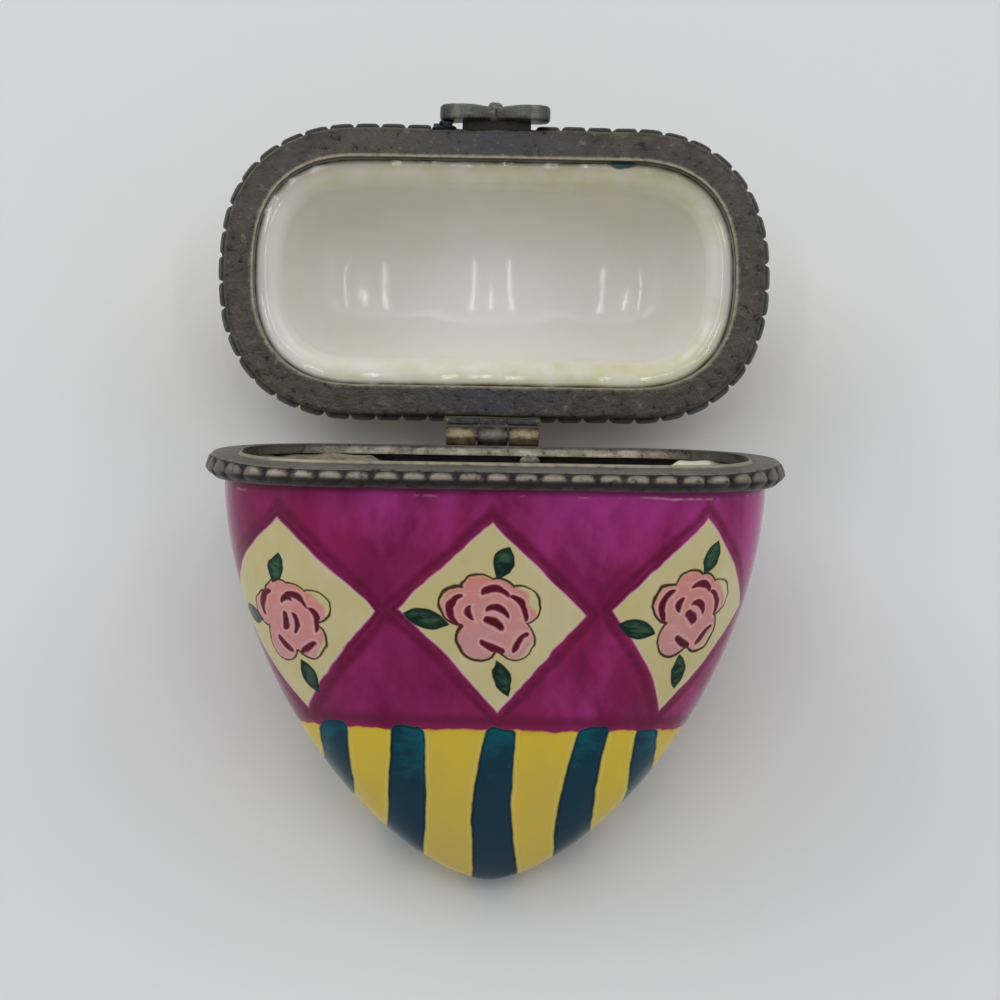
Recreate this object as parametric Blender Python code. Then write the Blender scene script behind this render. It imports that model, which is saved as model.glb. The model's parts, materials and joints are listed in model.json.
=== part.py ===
"""Heart trinket box: a hinged porcelain box in beaded metal rims, lying open on its back.

Metres, +Z up. The box is first modelled standing upright and closed, with its front towards -Y
and the parting plane between the two rims at z = 0. Two empties then set the rest pose: the lid
is swung open about the hinge pin, and the whole box is tipped back until it rests on the two
lobes of the lid and the back of the body.
"""

import math

import bmesh
import bpy
import numpy as np
from mathutils import Matrix, Vector

MM = 0.001

# The metal rims: a flat oval band with a row of beads round its outer wall.
BAND_HALF_WIDTH = 24.5 * MM
BAND_HALF_DEPTH = 13.0 * MM
BAND_STRAIGHT = 11.8 * MM
END_SQUARENESS = 2.4
BAND_WIDTH = 2.7 * MM
RIM_HEIGHT = 2.05 * MM
FLANGE = 0.85 * MM
SKIRT = 0.9 * MM
BEAD_COUNT = 56
BEAD_PROUD = 0.5 * MM
BEAD_TOP = 0.35 * MM
BEAD_BOTTOM = 1.65 * MM
GROOVE_SHARE = 0.16

# Clearance between pieces that touch in the real box.
GAP = 0.3 * MM
PARTING = 0.15 * MM

# The porcelain shells.
WALL = 3.2 * MM
BODY_LENGTH = 35.9 * MM
TIP_WALL = 4.2 * MM
LID_RISE = 12.7 * MM
LOBE_DIP = 0.34
LOBE_SPAN = 12.5 * MM
CREASE_RADIUS = 1.6 * MM
DOME_ROUNDNESS = 2.6
STATIONS = 44

# The hinge: three knuckles on one pin, behind and just above the parting plane.
HINGE_REACH = 1.88 * MM
HINGE_RISE = 0.45 * MM
KNUCKLE_RADIUS = 0.9 * MM
KNUCKLE_LENGTH = 2.7 * MM
KNUCKLE_GAP = 0.15 * MM
BORE_RADIUS = 0.48 * MM
PIN_RADIUS = 0.38 * MM
LEAF_THICKNESS = 0.55 * MM
LEAF_GAP = 0.2 * MM

# The bow clasp on the front of the lid.
BOW_HALF_WIDTH = 5.0 * MM
BOW_THICKNESS = 1.4 * MM
BOW_STANDOFF = 0.75 * MM
BOW_BLOCK_HALF_WIDTH = 3.1 * MM
BOW_CENTRE_Z = 0.6 * MM
BOW_OFF_CENTRE = -0.15 * MM

# The rest pose.
OPEN_ANGLE = math.radians(97)
FLAT_SPOT_DEPTH = 0.12 * MM

PORCELAIN = ("painted_porcelain", (0.55, 0.05, 0.28), 0.15, 0.0)
PORCELAIN_LID = ("lid_porcelain", (0.85, 0.74, 0.35), 0.15, 0.0)
ANTIQUE_METAL = ("antique_metal", (0.16, 0.14, 0.12), 0.45, 0.9)
WORN_BRASS = ("worn_brass", (0.42, 0.34, 0.2), 0.4, 0.9)


def clear_scene():
    for obj in list(bpy.data.objects):
        bpy.data.objects.remove(obj, do_unlink=True)


def material(name, colour, roughness, metallic):
    made = bpy.data.materials.get(name) or bpy.data.materials.new(name)
    made.use_nodes = True
    shader = made.node_tree.nodes["Principled BSDF"]
    shader.inputs["Base Color"].default_value = (*colour, 1.0)
    shader.inputs["Roughness"].default_value = roughness
    shader.inputs["Metallic"].default_value = metallic
    return made


# ---------------------------------------------------------------- the oval plan


def oval_curve(samples=4000):
    """The band's outer edge as dense points and outward normals, anticlockwise from the front centre.

    Two straight runs joined by squared-off ends: |u|^n + |v|^n = 1 with n = END_SQUARENESS.
    """
    end = BAND_HALF_WIDTH - BAND_STRAIGHT
    angle = np.linspace(-math.pi / 2, math.pi / 2, samples)
    power = 2 / END_SQUARENESS
    end_x = BAND_STRAIGHT + end * np.abs(np.cos(angle)) ** power
    end_y = BAND_HALF_DEPTH * np.sign(np.sin(angle)) * np.abs(np.sin(angle)) ** power
    right = np.column_stack([end_x, end_y])
    left = -right
    points = np.vstack([[0.0, -BAND_HALF_DEPTH], right, left, [0.0, -BAND_HALF_DEPTH]])
    steps = np.hypot(*np.diff(points, axis=0).T)
    keep = np.concatenate([[True], steps > 1e-9])
    points = points[keep]
    length = np.concatenate([[0.0], np.cumsum(np.hypot(*np.diff(points, axis=0).T))])
    return points, length


OVAL_POINTS, OVAL_LENGTH = oval_curve()
PERIMETER = OVAL_LENGTH[-1]


def oval_at(shares, offset=0.0):
    """Points on the oval, pushed out along its normal by offset, at these shares of its perimeter."""
    where = np.mod(shares, 1.0) * PERIMETER
    reach = 0.2 * MM

    def point(distance):
        wrapped = np.mod(distance, PERIMETER)
        x = np.interp(wrapped, OVAL_LENGTH, OVAL_POINTS[:, 0])
        y = np.interp(wrapped, OVAL_LENGTH, OVAL_POINTS[:, 1])
        return np.column_stack([x, y])

    along = point(where + reach) - point(where - reach)
    along /= np.linalg.norm(along, axis=1)[:, None]
    normal = np.column_stack([along[:, 1], -along[:, 0]])
    return point(where) + np.reshape(offset, (-1, 1)) * normal


# ---------------------------------------------------------------- mesh helpers


def mesh_object(name, mesh_builder, finish, parent):
    mesh = bpy.data.meshes.new(name)
    bm = bmesh.new()
    mesh_builder(bm)
    bmesh.ops.recalc_face_normals(bm, faces=bm.faces)
    bm.to_mesh(mesh)
    bm.free()
    mesh.materials.append(material(*finish))
    mesh.shade_smooth()
    mesh.set_sharp_from_angle(angle=math.radians(35))
    obj = bpy.data.objects.new(name, mesh)
    bpy.context.scene.collection.objects.link(obj)
    obj.parent = parent
    return obj


def bridge(bm, lower, upper):
    """Quads between two closed rings of the same count."""
    count = len(lower)
    for k in range(count):
        after = (k + 1) % count
        bm.faces.new([lower[k], lower[after], upper[after], upper[k]])


def fan(bm, ring, tip):
    for k, vert in enumerate(ring):
        bm.faces.new([vert, ring[(k + 1) % len(ring)], tip])


def shell_builder(rings, first_pole, last_pole):
    """A skin over closed rings of points, ended by a fan at each pole."""

    def build(bm):
        made = [[bm.verts.new(p) for p in ring] for ring in rings]
        for lower, upper in zip(made, made[1:]):
            bridge(bm, lower, upper)
        fan(bm, made[0], bm.verts.new(first_pole))
        fan(bm, made[-1], bm.verts.new(last_pole))

    return build


def box_into(bm, low, high):
    centre = [(a + b) / 2 for a, b in zip(low, high)]
    size = [b - a for a, b in zip(low, high)]
    place = Matrix.Translation(centre) @ Matrix.Diagonal((*size, 1.0))
    bmesh.ops.create_cube(bm, size=1.0, matrix=place)


def cylinder_into(bm, centre, radius, length, sides=16):
    """A cylinder along X."""
    place = Matrix.Translation(centre) @ Matrix.Rotation(math.pi / 2, 4, "Y")
    bmesh.ops.create_cone(
        bm,
        cap_ends=True,
        segments=sides,
        radius1=radius,
        radius2=radius,
        depth=length,
        matrix=place,
    )


def joined(target, others, operation="UNION"):
    """Joins or cuts target with the other objects by exact Booleans, and removes them."""
    for number, other in enumerate(others):
        step = target.modifiers.new(f"{operation.lower()}_{number}", "BOOLEAN")
        step.operation = operation
        step.solver = "EXACT"
        step.object = other
        bpy.context.view_layer.update()
        graph = bpy.context.evaluated_depsgraph_get()
        baked = bpy.data.meshes.new_from_object(target.evaluated_get(graph))
        target.modifiers.clear()
        target.data = baked
        bpy.data.objects.remove(other, do_unlink=True)
    return target


# ---------------------------------------------------------------- porcelain shells


def ring(outline, x_scale, y_scale, z):
    return [Vector((x * x_scale, y * y_scale, z)) for x, y in outline]


def body_side(depth_share):
    """Share of the full half-width left at this share of the depth, for the heart's sides."""
    return (1 - depth_share**1.8) ** 0.65


def body_front(depth_share):
    """Share of the full half-depth left at this share of the depth, for its front and back."""
    return (1 - depth_share**2) ** 0.6


SHARES = np.arange(STATIONS) / STATIONS
PORCELAIN_OFFSET = -(SKIRT + GAP)
OUTER_PLAN = oval_at(SHARES, PORCELAIN_OFFSET)
INNER_PLAN = oval_at(SHARES, PORCELAIN_OFFSET - WALL)
LIP_HEIGHT = PARTING + FLANGE + GAP
LIP_SOFTNESS = 0.7 * MM


def lip_rings(sign):
    """The rounded edge of a shell from its outer to its inner wall; sign is -1 on the body, 1 on the lid."""
    over = [
        (0.0, LIP_HEIGHT + LIP_SOFTNESS),
        (LIP_SOFTNESS, LIP_HEIGHT),
        (WALL - LIP_SOFTNESS, LIP_HEIGHT),
        (WALL, LIP_HEIGHT + LIP_SOFTNESS),
    ]
    rings = []
    for inset, height in over:
        outline = oval_at(SHARES, PORCELAIN_OFFSET - inset)
        rings.append(ring(outline, 1, 1, sign * height))
    return rings


def body_shell():
    """The lower two thirds of the heart, open at the top."""
    top = -(LIP_HEIGHT + LIP_SOFTNESS)
    outer_depth = BODY_LENGTH - LIP_SOFTNESS
    inner_depth = outer_depth - TIP_WALL
    outer_steps = (0.996, 0.975, 0.93, 0.86, 0.77, 0.66, 0.54, 0.41, 0.27, 0.13)
    inner_steps = (0.15, 0.3, 0.46, 0.62, 0.76, 0.88, 0.96, 0.99)
    outer = [
        ring(OUTER_PLAN, body_side(t), body_front(t), top - t * outer_depth)
        for t in outer_steps
    ]
    inner = [
        ring(INNER_PLAN, body_side(t), body_front(t), top - t * inner_depth)
        for t in inner_steps
    ]
    rings = outer + lip_rings(-1) + inner
    return shell_builder(
        rings, Vector((0, 0, top - outer_depth)), Vector((0, 0, top - inner_depth))
    )


def lobes(x, rise, softness):
    """Height of the dome's crest at x: full over each lobe, dipping to a soft crease between them."""
    from_crease = math.hypot(x, softness) - softness
    short_of_lobe = max(0.0, 1 - from_crease / LOBE_SPAN)
    return rise * (1 - LOBE_DIP * short_of_lobe**2)


def dome_ring(outline, share, rise, softness, base):
    """One ring of the lid's dome, at this share of the way from its centre to its edge."""
    fall = (1 - share**DOME_ROUNDNESS) ** (1 / DOME_ROUNDNESS)
    return [
        Vector((x * share, y * share, base + lobes(x * share, rise, softness) * fall))
        for x, y in outline
    ]


def lid_shell():
    """The two lobes at the top of the heart, hollow underneath."""
    base = LIP_HEIGHT + LIP_SOFTNESS
    outer_rise = LID_RISE
    inner_rise = LID_RISE - WALL
    outer_steps = (0.12, 0.25, 0.38, 0.5, 0.62, 0.73, 0.83, 0.91, 0.965, 0.992)
    inner_steps = (0.985, 0.94, 0.86, 0.75, 0.62, 0.47, 0.31, 0.15)
    outer = [
        dome_ring(OUTER_PLAN, s, outer_rise, CREASE_RADIUS, base) for s in outer_steps
    ]
    inner = [
        dome_ring(INNER_PLAN, s, inner_rise, CREASE_RADIUS + WALL, base)
        for s in inner_steps
    ]
    rings = outer + lip_rings(1) + inner
    outer_pole = Vector((0, 0, base + lobes(0, outer_rise, CREASE_RADIUS)))
    inner_pole = Vector((0, 0, base + lobes(0, inner_rise, CREASE_RADIUS + WALL)))
    return shell_builder(rings, outer_pole, inner_pole)


# ---------------------------------------------------------------- beaded rims


def bead_stations(front_fitting, back_fitting):
    """Shares of the perimeter and bead height, 0 to 1, of the stations that draw the beads.

    Each bead has a groove before it and a flat top. Beads that a fitting of this half-width
    at the middle of the front or back would touch are left off.
    """
    stations = []
    half_pitch = PERIMETER / BEAD_COUNT / 2
    for number in range(BEAD_COUNT):
        middle = oval_at(np.array([number / BEAD_COUNT]))[0]
        fitting = back_fitting if middle[1] > 0 else front_fitting
        covered = fitting > 0 and abs(middle[0]) < fitting + half_pitch
        height = 0.0 if covered else 1.0
        steps = ((-0.5, 0.0), (-0.5 + GROOVE_SHARE, 1.0), (0.5 - GROOVE_SHARE, 1.0))
        for step, share_of_height in steps:
            stations.append(((number + step) / BEAD_COUNT, share_of_height * height))
    return stations


def rim_builder(sign, front_fitting, back_fitting):
    """A band with an outer skirt.

    sign is -1 for the body's rim, below the parting plane, and 1 for the lid's.
    """
    face = PARTING
    underside = PARTING + FLANGE
    foot = PARTING + RIM_HEIGHT
    section = [
        (-BAND_WIDTH, face, 0),
        (0.0, face, 0),
        (0.0, face + BEAD_TOP, 1),
        (0.0, face + BEAD_BOTTOM, 1),
        (0.0, foot, 0),
        (-SKIRT, foot, 0),
        (-SKIRT, underside, 0),
        (-BAND_WIDTH, underside, 0),
    ]

    def build(bm):
        stations = bead_stations(front_fitting, back_fitting)
        shares = np.array([s for s, _ in stations])
        beads = np.array([b for _, b in stations])
        loops = []
        for offset, height, carries_bead in section:
            out = offset + carries_bead * BEAD_PROUD * beads
            loops.append(
                [bm.verts.new((x, y, sign * height)) for x, y in oval_at(shares, out)]
            )
        for lower, upper in zip(loops, loops[1:] + loops[:1]):
            bridge(bm, lower, upper)

    return build


# ---------------------------------------------------------------- hinge

HINGE_Y = BAND_HALF_DEPTH + HINGE_REACH
HINGE_Z = HINGE_RISE
HINGE_HALF_WIDTH = 1.5 * KNUCKLE_LENGTH + KNUCKLE_GAP


def hinge_leaf(name, sign, knuckle_centres, parent, offset):
    """A plate against a rim's back wall, with its knuckles on the pin's line.

    sign is -1 for the body's leaf, below the parting plane, and 1 for the lid's.
    """
    plate_front = BAND_HALF_DEPTH + LEAF_GAP
    plate_back = plate_front + LEAF_THICKNESS
    near, far = PARTING + 0.1 * MM, PARTING + RIM_HEIGHT - 0.1 * MM
    low, high = sorted((sign * near, sign * far))

    def plate(bm):
        box_into(
            bm,
            (-HINGE_HALF_WIDTH, plate_front - offset.y, low - offset.z),
            (HINGE_HALF_WIDTH, plate_back - offset.y, high - offset.z),
        )

    leaf = mesh_object(name, plate, WORN_BRASS, parent)
    parts = []
    neck_half = KNUCKLE_LENGTH / 2 - 0.03 * MM
    neck_near = -0.25 * MM if sign < 0 else PARTING + 0.15 * MM
    neck_far = -1.0 * MM if sign < 0 else HINGE_Z + 0.8 * MM
    neck_low, neck_high = sorted((neck_near, neck_far))
    for centre in knuckle_centres:

        def neck(bm, centre=centre):
            box_into(
                bm,
                (centre - neck_half, plate_back - 0.1 * MM - offset.y, neck_low - offset.z),
                (centre + neck_half, HINGE_Y - offset.y, neck_high - offset.z),
            )

        def barrel(bm, centre=centre):
            place = Vector((centre, HINGE_Y, HINGE_Z)) - offset
            cylinder_into(bm, place, KNUCKLE_RADIUS, KNUCKLE_LENGTH)

        parts.append(mesh_object("neck", neck, WORN_BRASS, parent))
        parts.append(mesh_object("barrel", barrel, WORN_BRASS, parent))

    def bore(bm):
        place = Vector((0, HINGE_Y, HINGE_Z)) - offset
        cylinder_into(bm, place, BORE_RADIUS, 4 * HINGE_HALF_WIDTH, sides=12)

    joined(leaf, parts)
    cutter = mesh_object("bore", bore, WORN_BRASS, parent)
    return joined(leaf, [cutter], "DIFFERENCE")


def hinge_pin(bm):
    cylinder_into(
        bm, Vector((0, HINGE_Y, HINGE_Z)), PIN_RADIUS, 2 * HINGE_HALF_WIDTH, sides=12
    )


# ---------------------------------------------------------------- bow clasp


def bow_outline():
    """Half of the bow's outline, from the middle of its top edge to the middle of its bottom edge.

    x is across, z is up, about the centre of the knot: a round loop over a short tail.
    """
    loop_centre = Vector((3.3 * MM, 0.3 * MM))
    loop_half_width = BOW_HALF_WIDTH - loop_centre.x
    loop_half_height = 1.75 * MM
    top = [Vector((0, 0.95 * MM)), Vector((0.85 * MM, 0.95 * MM))]
    arc = []
    for step in range(8):
        angle = math.radians(105 - step * 29)
        arc.append(
            loop_centre
            + Vector((loop_half_width * math.cos(angle), loop_half_height * math.sin(angle)))
        )
    tail = [
        Vector((1.5 * MM, -0.8 * MM)),
        Vector((2.9 * MM, -2.7 * MM)),
        Vector((1.7 * MM, -2.9 * MM)),
        Vector((0.55 * MM, -1.15 * MM)),
    ]
    return top + arc + tail + [Vector((0, -1.0 * MM))]


def bow_clasp(parent, offset):
    """A cast ribbon bow standing off the lid rim's front wall on a short block."""
    back = -(BAND_HALF_DEPTH + BOW_STANDOFF)
    front = back - BOW_THICKNESS
    middle = Vector((BOW_OFF_CENTRE, 0, BOW_CENTRE_Z)) - offset
    half = bow_outline()
    outline = half + [Vector((-p.x, p.y)) for p in reversed(half[1:-1])]

    def plate(bm):
        loops = []
        for y in (back, front):
            loops.append([bm.verts.new(middle + Vector((p.x, y, p.y))) for p in outline])
        bridge(bm, loops[0], loops[1])
        bm.faces.new(loops[0])
        bm.faces.new(loops[1])

    def block(bm):
        box_into(
            bm,
            Vector((-BOW_BLOCK_HALF_WIDTH, back - 0.3 * MM, PARTING + 0.1 * MM)) - offset,
            Vector((BOW_BLOCK_HALF_WIDTH, -BAND_HALF_DEPTH - LEAF_GAP, 1.5 * MM)) - offset,
        )

    def knot(bm):
        place = Matrix.Translation(middle + Vector((0, front, 0)))
        bmesh.ops.create_uvsphere(
            bm,
            u_segments=12,
            v_segments=8,
            radius=1.0,
            matrix=place @ Matrix.Diagonal((0.9 * MM, 0.3 * MM, 1.05 * MM, 1.0)),
        )

    bow = mesh_object("bow_clasp", plate, ANTIQUE_METAL, parent)
    others = [
        mesh_object("block", block, ANTIQUE_METAL, parent),
        mesh_object("knot", knot, ANTIQUE_METAL, parent),
    ]
    return joined(bow, others)


# ---------------------------------------------------------------- rest pose


def heights(objects, turn):
    """World heights of the objects' vertices once the whole box is turned by this matrix."""
    found = []
    for obj in objects:
        matrix = turn @ obj.matrix_world
        found.extend((matrix @ v.co).z for v in obj.data.vertices)
    return min(found)


def resting_tilt(body_objects, lid_objects):
    """The angle to tip the box back about X at which its body and its lid stand equally low."""
    low, high = math.radians(-89), math.radians(-30)
    for _ in range(50):
        middle = (low + high) / 2
        turn = Matrix.Rotation(middle, 4, "X")
        if heights(body_objects, turn) > heights(lid_objects, turn):
            low = middle
        else:
            high = middle
    return (low + high) / 2


def flat_spots(obj, table):
    step = obj.modifiers.new("flat_spot", "BOOLEAN")
    step.operation = "DIFFERENCE"
    step.solver = "EXACT"
    step.object = table


def main():
    clear_scene()
    box = bpy.data.objects.new("box_at_rest", None)
    swing = bpy.data.objects.new("lid_swing", None)
    for empty in (box, swing):
        bpy.context.scene.collection.objects.link(empty)
    hinge = Vector((0, HINGE_Y, HINGE_Z))
    swing.parent = box
    swing.location = hinge
    on_lid = Matrix.Translation(-hinge)

    knuckle_step = KNUCKLE_LENGTH + KNUCKLE_GAP
    body = [
        mesh_object("porcelain_body", body_shell(), PORCELAIN, box),
        mesh_object("body_rim", rim_builder(-1, 0, HINGE_HALF_WIDTH), ANTIQUE_METAL, box),
        hinge_leaf("body_hinge_leaf", -1, (-knuckle_step, knuckle_step), box, Vector()),
        mesh_object("hinge_pin", hinge_pin, WORN_BRASS, box),
    ]
    lid = [
        mesh_object("porcelain_lid", lid_shell(), PORCELAIN_LID, swing),
        mesh_object(
            "lid_rim",
            rim_builder(1, BOW_BLOCK_HALF_WIDTH, HINGE_HALF_WIDTH),
            ANTIQUE_METAL,
            swing,
        ),
    ]
    for obj in lid:
        obj.data.transform(on_lid)
    lid.append(hinge_leaf("lid_hinge_leaf", 1, (0.0,), swing, hinge))
    lid.append(bow_clasp(swing, hinge))

    swing.rotation_euler.x = -OPEN_ANGLE
    bpy.context.view_layer.update()
    box.rotation_euler.x = resting_tilt(body, lid)
    bpy.context.view_layer.update()
    corners = np.array([obj.matrix_world @ v.co for obj in body + lid for v in obj.data.vertices])
    low, high = corners.min(axis=0), corners.max(axis=0)
    box.location = (0, -(low[1] + high[1]) / 2, -low[2] - FLAT_SPOT_DEPTH)
    bpy.context.view_layer.update()

    def slab(bm):
        box_into(bm, (-60 * MM, -60 * MM, -20 * MM), (60 * MM, 60 * MM, 0))

    table = mesh_object("table_cutter", slab, ANTIQUE_METAL, None)
    table.hide_render = True
    table.display_type = "WIRE"
    for obj in (body[0], lid[0]):
        flat_spots(obj, table)
    print("tilt", math.degrees(box.rotation_euler.x), "box", low, high)


main()
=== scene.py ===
import functools
import json
import math

import bpy
import numpy as np
from mathutils import Euler, Matrix, Vector


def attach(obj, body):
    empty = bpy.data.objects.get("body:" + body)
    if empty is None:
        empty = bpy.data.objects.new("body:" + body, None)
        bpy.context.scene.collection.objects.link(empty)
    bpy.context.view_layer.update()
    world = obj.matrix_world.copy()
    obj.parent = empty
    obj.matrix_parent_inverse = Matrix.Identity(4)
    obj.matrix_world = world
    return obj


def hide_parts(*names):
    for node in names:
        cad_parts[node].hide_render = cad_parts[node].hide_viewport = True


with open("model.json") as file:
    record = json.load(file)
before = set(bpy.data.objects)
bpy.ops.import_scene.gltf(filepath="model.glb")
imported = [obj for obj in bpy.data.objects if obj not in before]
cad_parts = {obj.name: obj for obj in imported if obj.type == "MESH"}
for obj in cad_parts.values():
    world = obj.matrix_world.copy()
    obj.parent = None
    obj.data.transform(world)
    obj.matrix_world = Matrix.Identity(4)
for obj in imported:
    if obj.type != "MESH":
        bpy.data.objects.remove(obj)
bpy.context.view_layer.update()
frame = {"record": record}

# ---------------------------------------------------------------- how the box lies
# The box is drawn upright and shut, in millimetres: front to -Y, tip down, the parting plane
# between its two rims at z = 0. It is then turned about its hinge pin onto its back, and the
# lid is turned further, to where it lies open.
hinge_joint = frame["record"]["behaviour"]["joints"][0]
PIN_LAID = np.array(hinge_joint["pos_m"])
PIN_SHUT = np.array((0.0, 14.88, 0.45))
BODY_TURN = math.radians(-59.678)
LID_TURN = BODY_TURN - math.radians(hinge_joint["range_deg"][1])


def laid(points, turn):
    """Points of the shut box, in mm, turned about the hinge pin and moved to where the pin lies, in m."""
    rotation = np.array(Matrix.Rotation(turn, 3, "X"))
    places = (np.asarray(points) - PIN_SHUT) @ rotation.T * 0.001 + PIN_LAID
    places[:, 2] = np.maximum(places[:, 2], 0.0)
    return places


# ---------------------------------------------------------------- camera, light and paper
# The box is seen from above its tip, almost square to the lid's rim. It lies on white paper. A
# window and a white wall light it softly from behind the lid, the person looking down on it takes
# some light off the near side, and three ceiling tubes mirror in the glaze.
camera_data = bpy.data.cameras.new("camera")
camera_data.sensor_width = 36.0
camera_data.lens = 138.5
camera = bpy.data.objects.new("camera", camera_data)
camera.location = (-0.00695, -0.14987, 0.31825)
camera.rotation_euler = Euler([math.radians(a) for a in (25.72, -1.54, 0.254)], "XYZ")
bpy.context.scene.collection.objects.link(camera)
bpy.context.scene.camera = camera
bpy.context.scene.view_settings.view_transform = "Standard"


def area_light(name, place, size, power, colour, level=False):
    """A rectangular lamp at a place, in m, turned to face the box, or hung level with its length along Y."""
    data = bpy.data.lights.new(name, "AREA")
    data.shape = "RECTANGLE"
    data.size, data.size_y = size
    data.energy = power
    data.color = colour
    lamp = bpy.data.objects.new(name, data)
    lamp.location = place
    if not level:
        lamp.rotation_euler = (Vector((0, 0, 0.01)) - Vector(place)).to_track_quat("-Z", "Y").to_euler()
    bpy.context.scene.collection.objects.link(lamp)


area_light("window", (-0.8, 0.7, 0.8), (0.9, 0.9), 3.5, (1.0, 0.99, 0.975))
area_light("white_wall", (0.8, 0.7, 0.8), (0.9, 0.9), 1.95, (1.0, 0.985, 0.97))
area_light("ceiling", (0.0, 0.2, 1.5), (1.2, 1.2), 1.55, (1.0, 0.99, 0.975))
for tube, (length, y) in enumerate(((0.64, -0.17), (0.32, -0.11), (0.64, -0.17))):
    place = (0.33 * (tube - 1), y, 1.0)
    area_light(f"ceiling_tube_{tube}", place, (0.022, length), 1.1 * length, (1.0, 0.98, 0.94), level=True)

room = bpy.data.worlds.new("room")
bpy.context.scene.world = room
room.use_nodes = True
nodes, links = room.node_tree.nodes, room.node_tree.links
direction = nodes.new("ShaderNodeTexCoord")
towards_viewer = nodes.new("ShaderNodeVectorMath")
towards_viewer.operation = "DOT_PRODUCT"
towards_viewer.inputs[1].default_value = Vector((0.0, -0.50, 0.86)).normalized()
links.new(direction.outputs["Generated"], towards_viewer.inputs[0])
shade = nodes.new("ShaderNodeMapRange")
shade.interpolation_type = "SMOOTHSTEP"
shade.inputs["From Min"].default_value = 0.5
shade.inputs["From Max"].default_value = 0.95
shade.inputs["To Min"].default_value = 0.64
shade.inputs["To Max"].default_value = 0.27
links.new(towards_viewer.outputs["Value"], shade.inputs["Value"])
nodes["Background"].inputs["Color"].default_value = (0.97, 0.985, 1.0, 1.0)
links.new(shade.outputs["Result"], nodes["Background"].inputs["Strength"])

PAPER_HALF = 1.5
paper_mesh = bpy.data.meshes.new("paper")
paper_corners = [(x * PAPER_HALF, y * PAPER_HALF, 0) for x, y in ((-1, -1), (1, -1), (1, 1), (-1, 1))]
paper_mesh.from_pydata(paper_corners, [], [(0, 1, 2, 3)])
paper = bpy.data.objects.new("paper", paper_mesh)
bpy.context.scene.collection.objects.link(paper)


class Number:
    """A value worked out in a material: each operation on it adds one Math node to its tree."""

    def __init__(self, tree, socket):
        self.tree = tree
        self.socket = socket

    def op(self, operation, *others, clamp=False):
        node = self.tree.nodes.new("ShaderNodeMath")
        node.operation = operation
        node.use_clamp = clamp
        for slot, value in zip(node.inputs, (self, *others)):
            if isinstance(value, Number):
                self.tree.links.new(value.socket, slot)
            else:
                slot.default_value = value
        return Number(self.tree, node.outputs[0])

    def __add__(self, other):
        return self.op("ADD", other)

    def __sub__(self, other):
        return self.op("SUBTRACT", other)

    def __rsub__(self, other):
        return self.op("MULTIPLY_ADD", -1.0, other)

    def __mul__(self, other):
        return self.op("MULTIPLY", other)

    def __truediv__(self, other):
        return self.op("DIVIDE", other)

    def __abs__(self):
        return self.op("ABSOLUTE")

    def least(self, other):
        return self.op("MINIMUM", other)

    def most(self, other):
        return self.op("MAXIMUM", other)

    def share(self, scale=1.0):
        """This times a scale, kept between 0 and 1."""
        return self.op("MULTIPLY", scale, clamp=True)

    def within(self, edge=0.0, softness=0.12):
        """1 where this is below the edge, 0 above, with a straight ramp as wide as the softness."""
        return self.op("MULTIPLY_ADD", -1.0 / softness, 0.5 + edge / softness, clamp=True)


def length_of(x, y):
    return (x * x + y * y).op("SQRT")


def headed(x, y, heading):
    """Two coordinates as how far along a heading, in degrees, and how far beside it."""
    c, s = math.cos(math.radians(heading)), math.sin(math.radians(heading))
    return x * c + y * s, y * c - x * s


def nearest(distances):
    """The least of several distances."""
    return functools.reduce(Number.least, distances)


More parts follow.
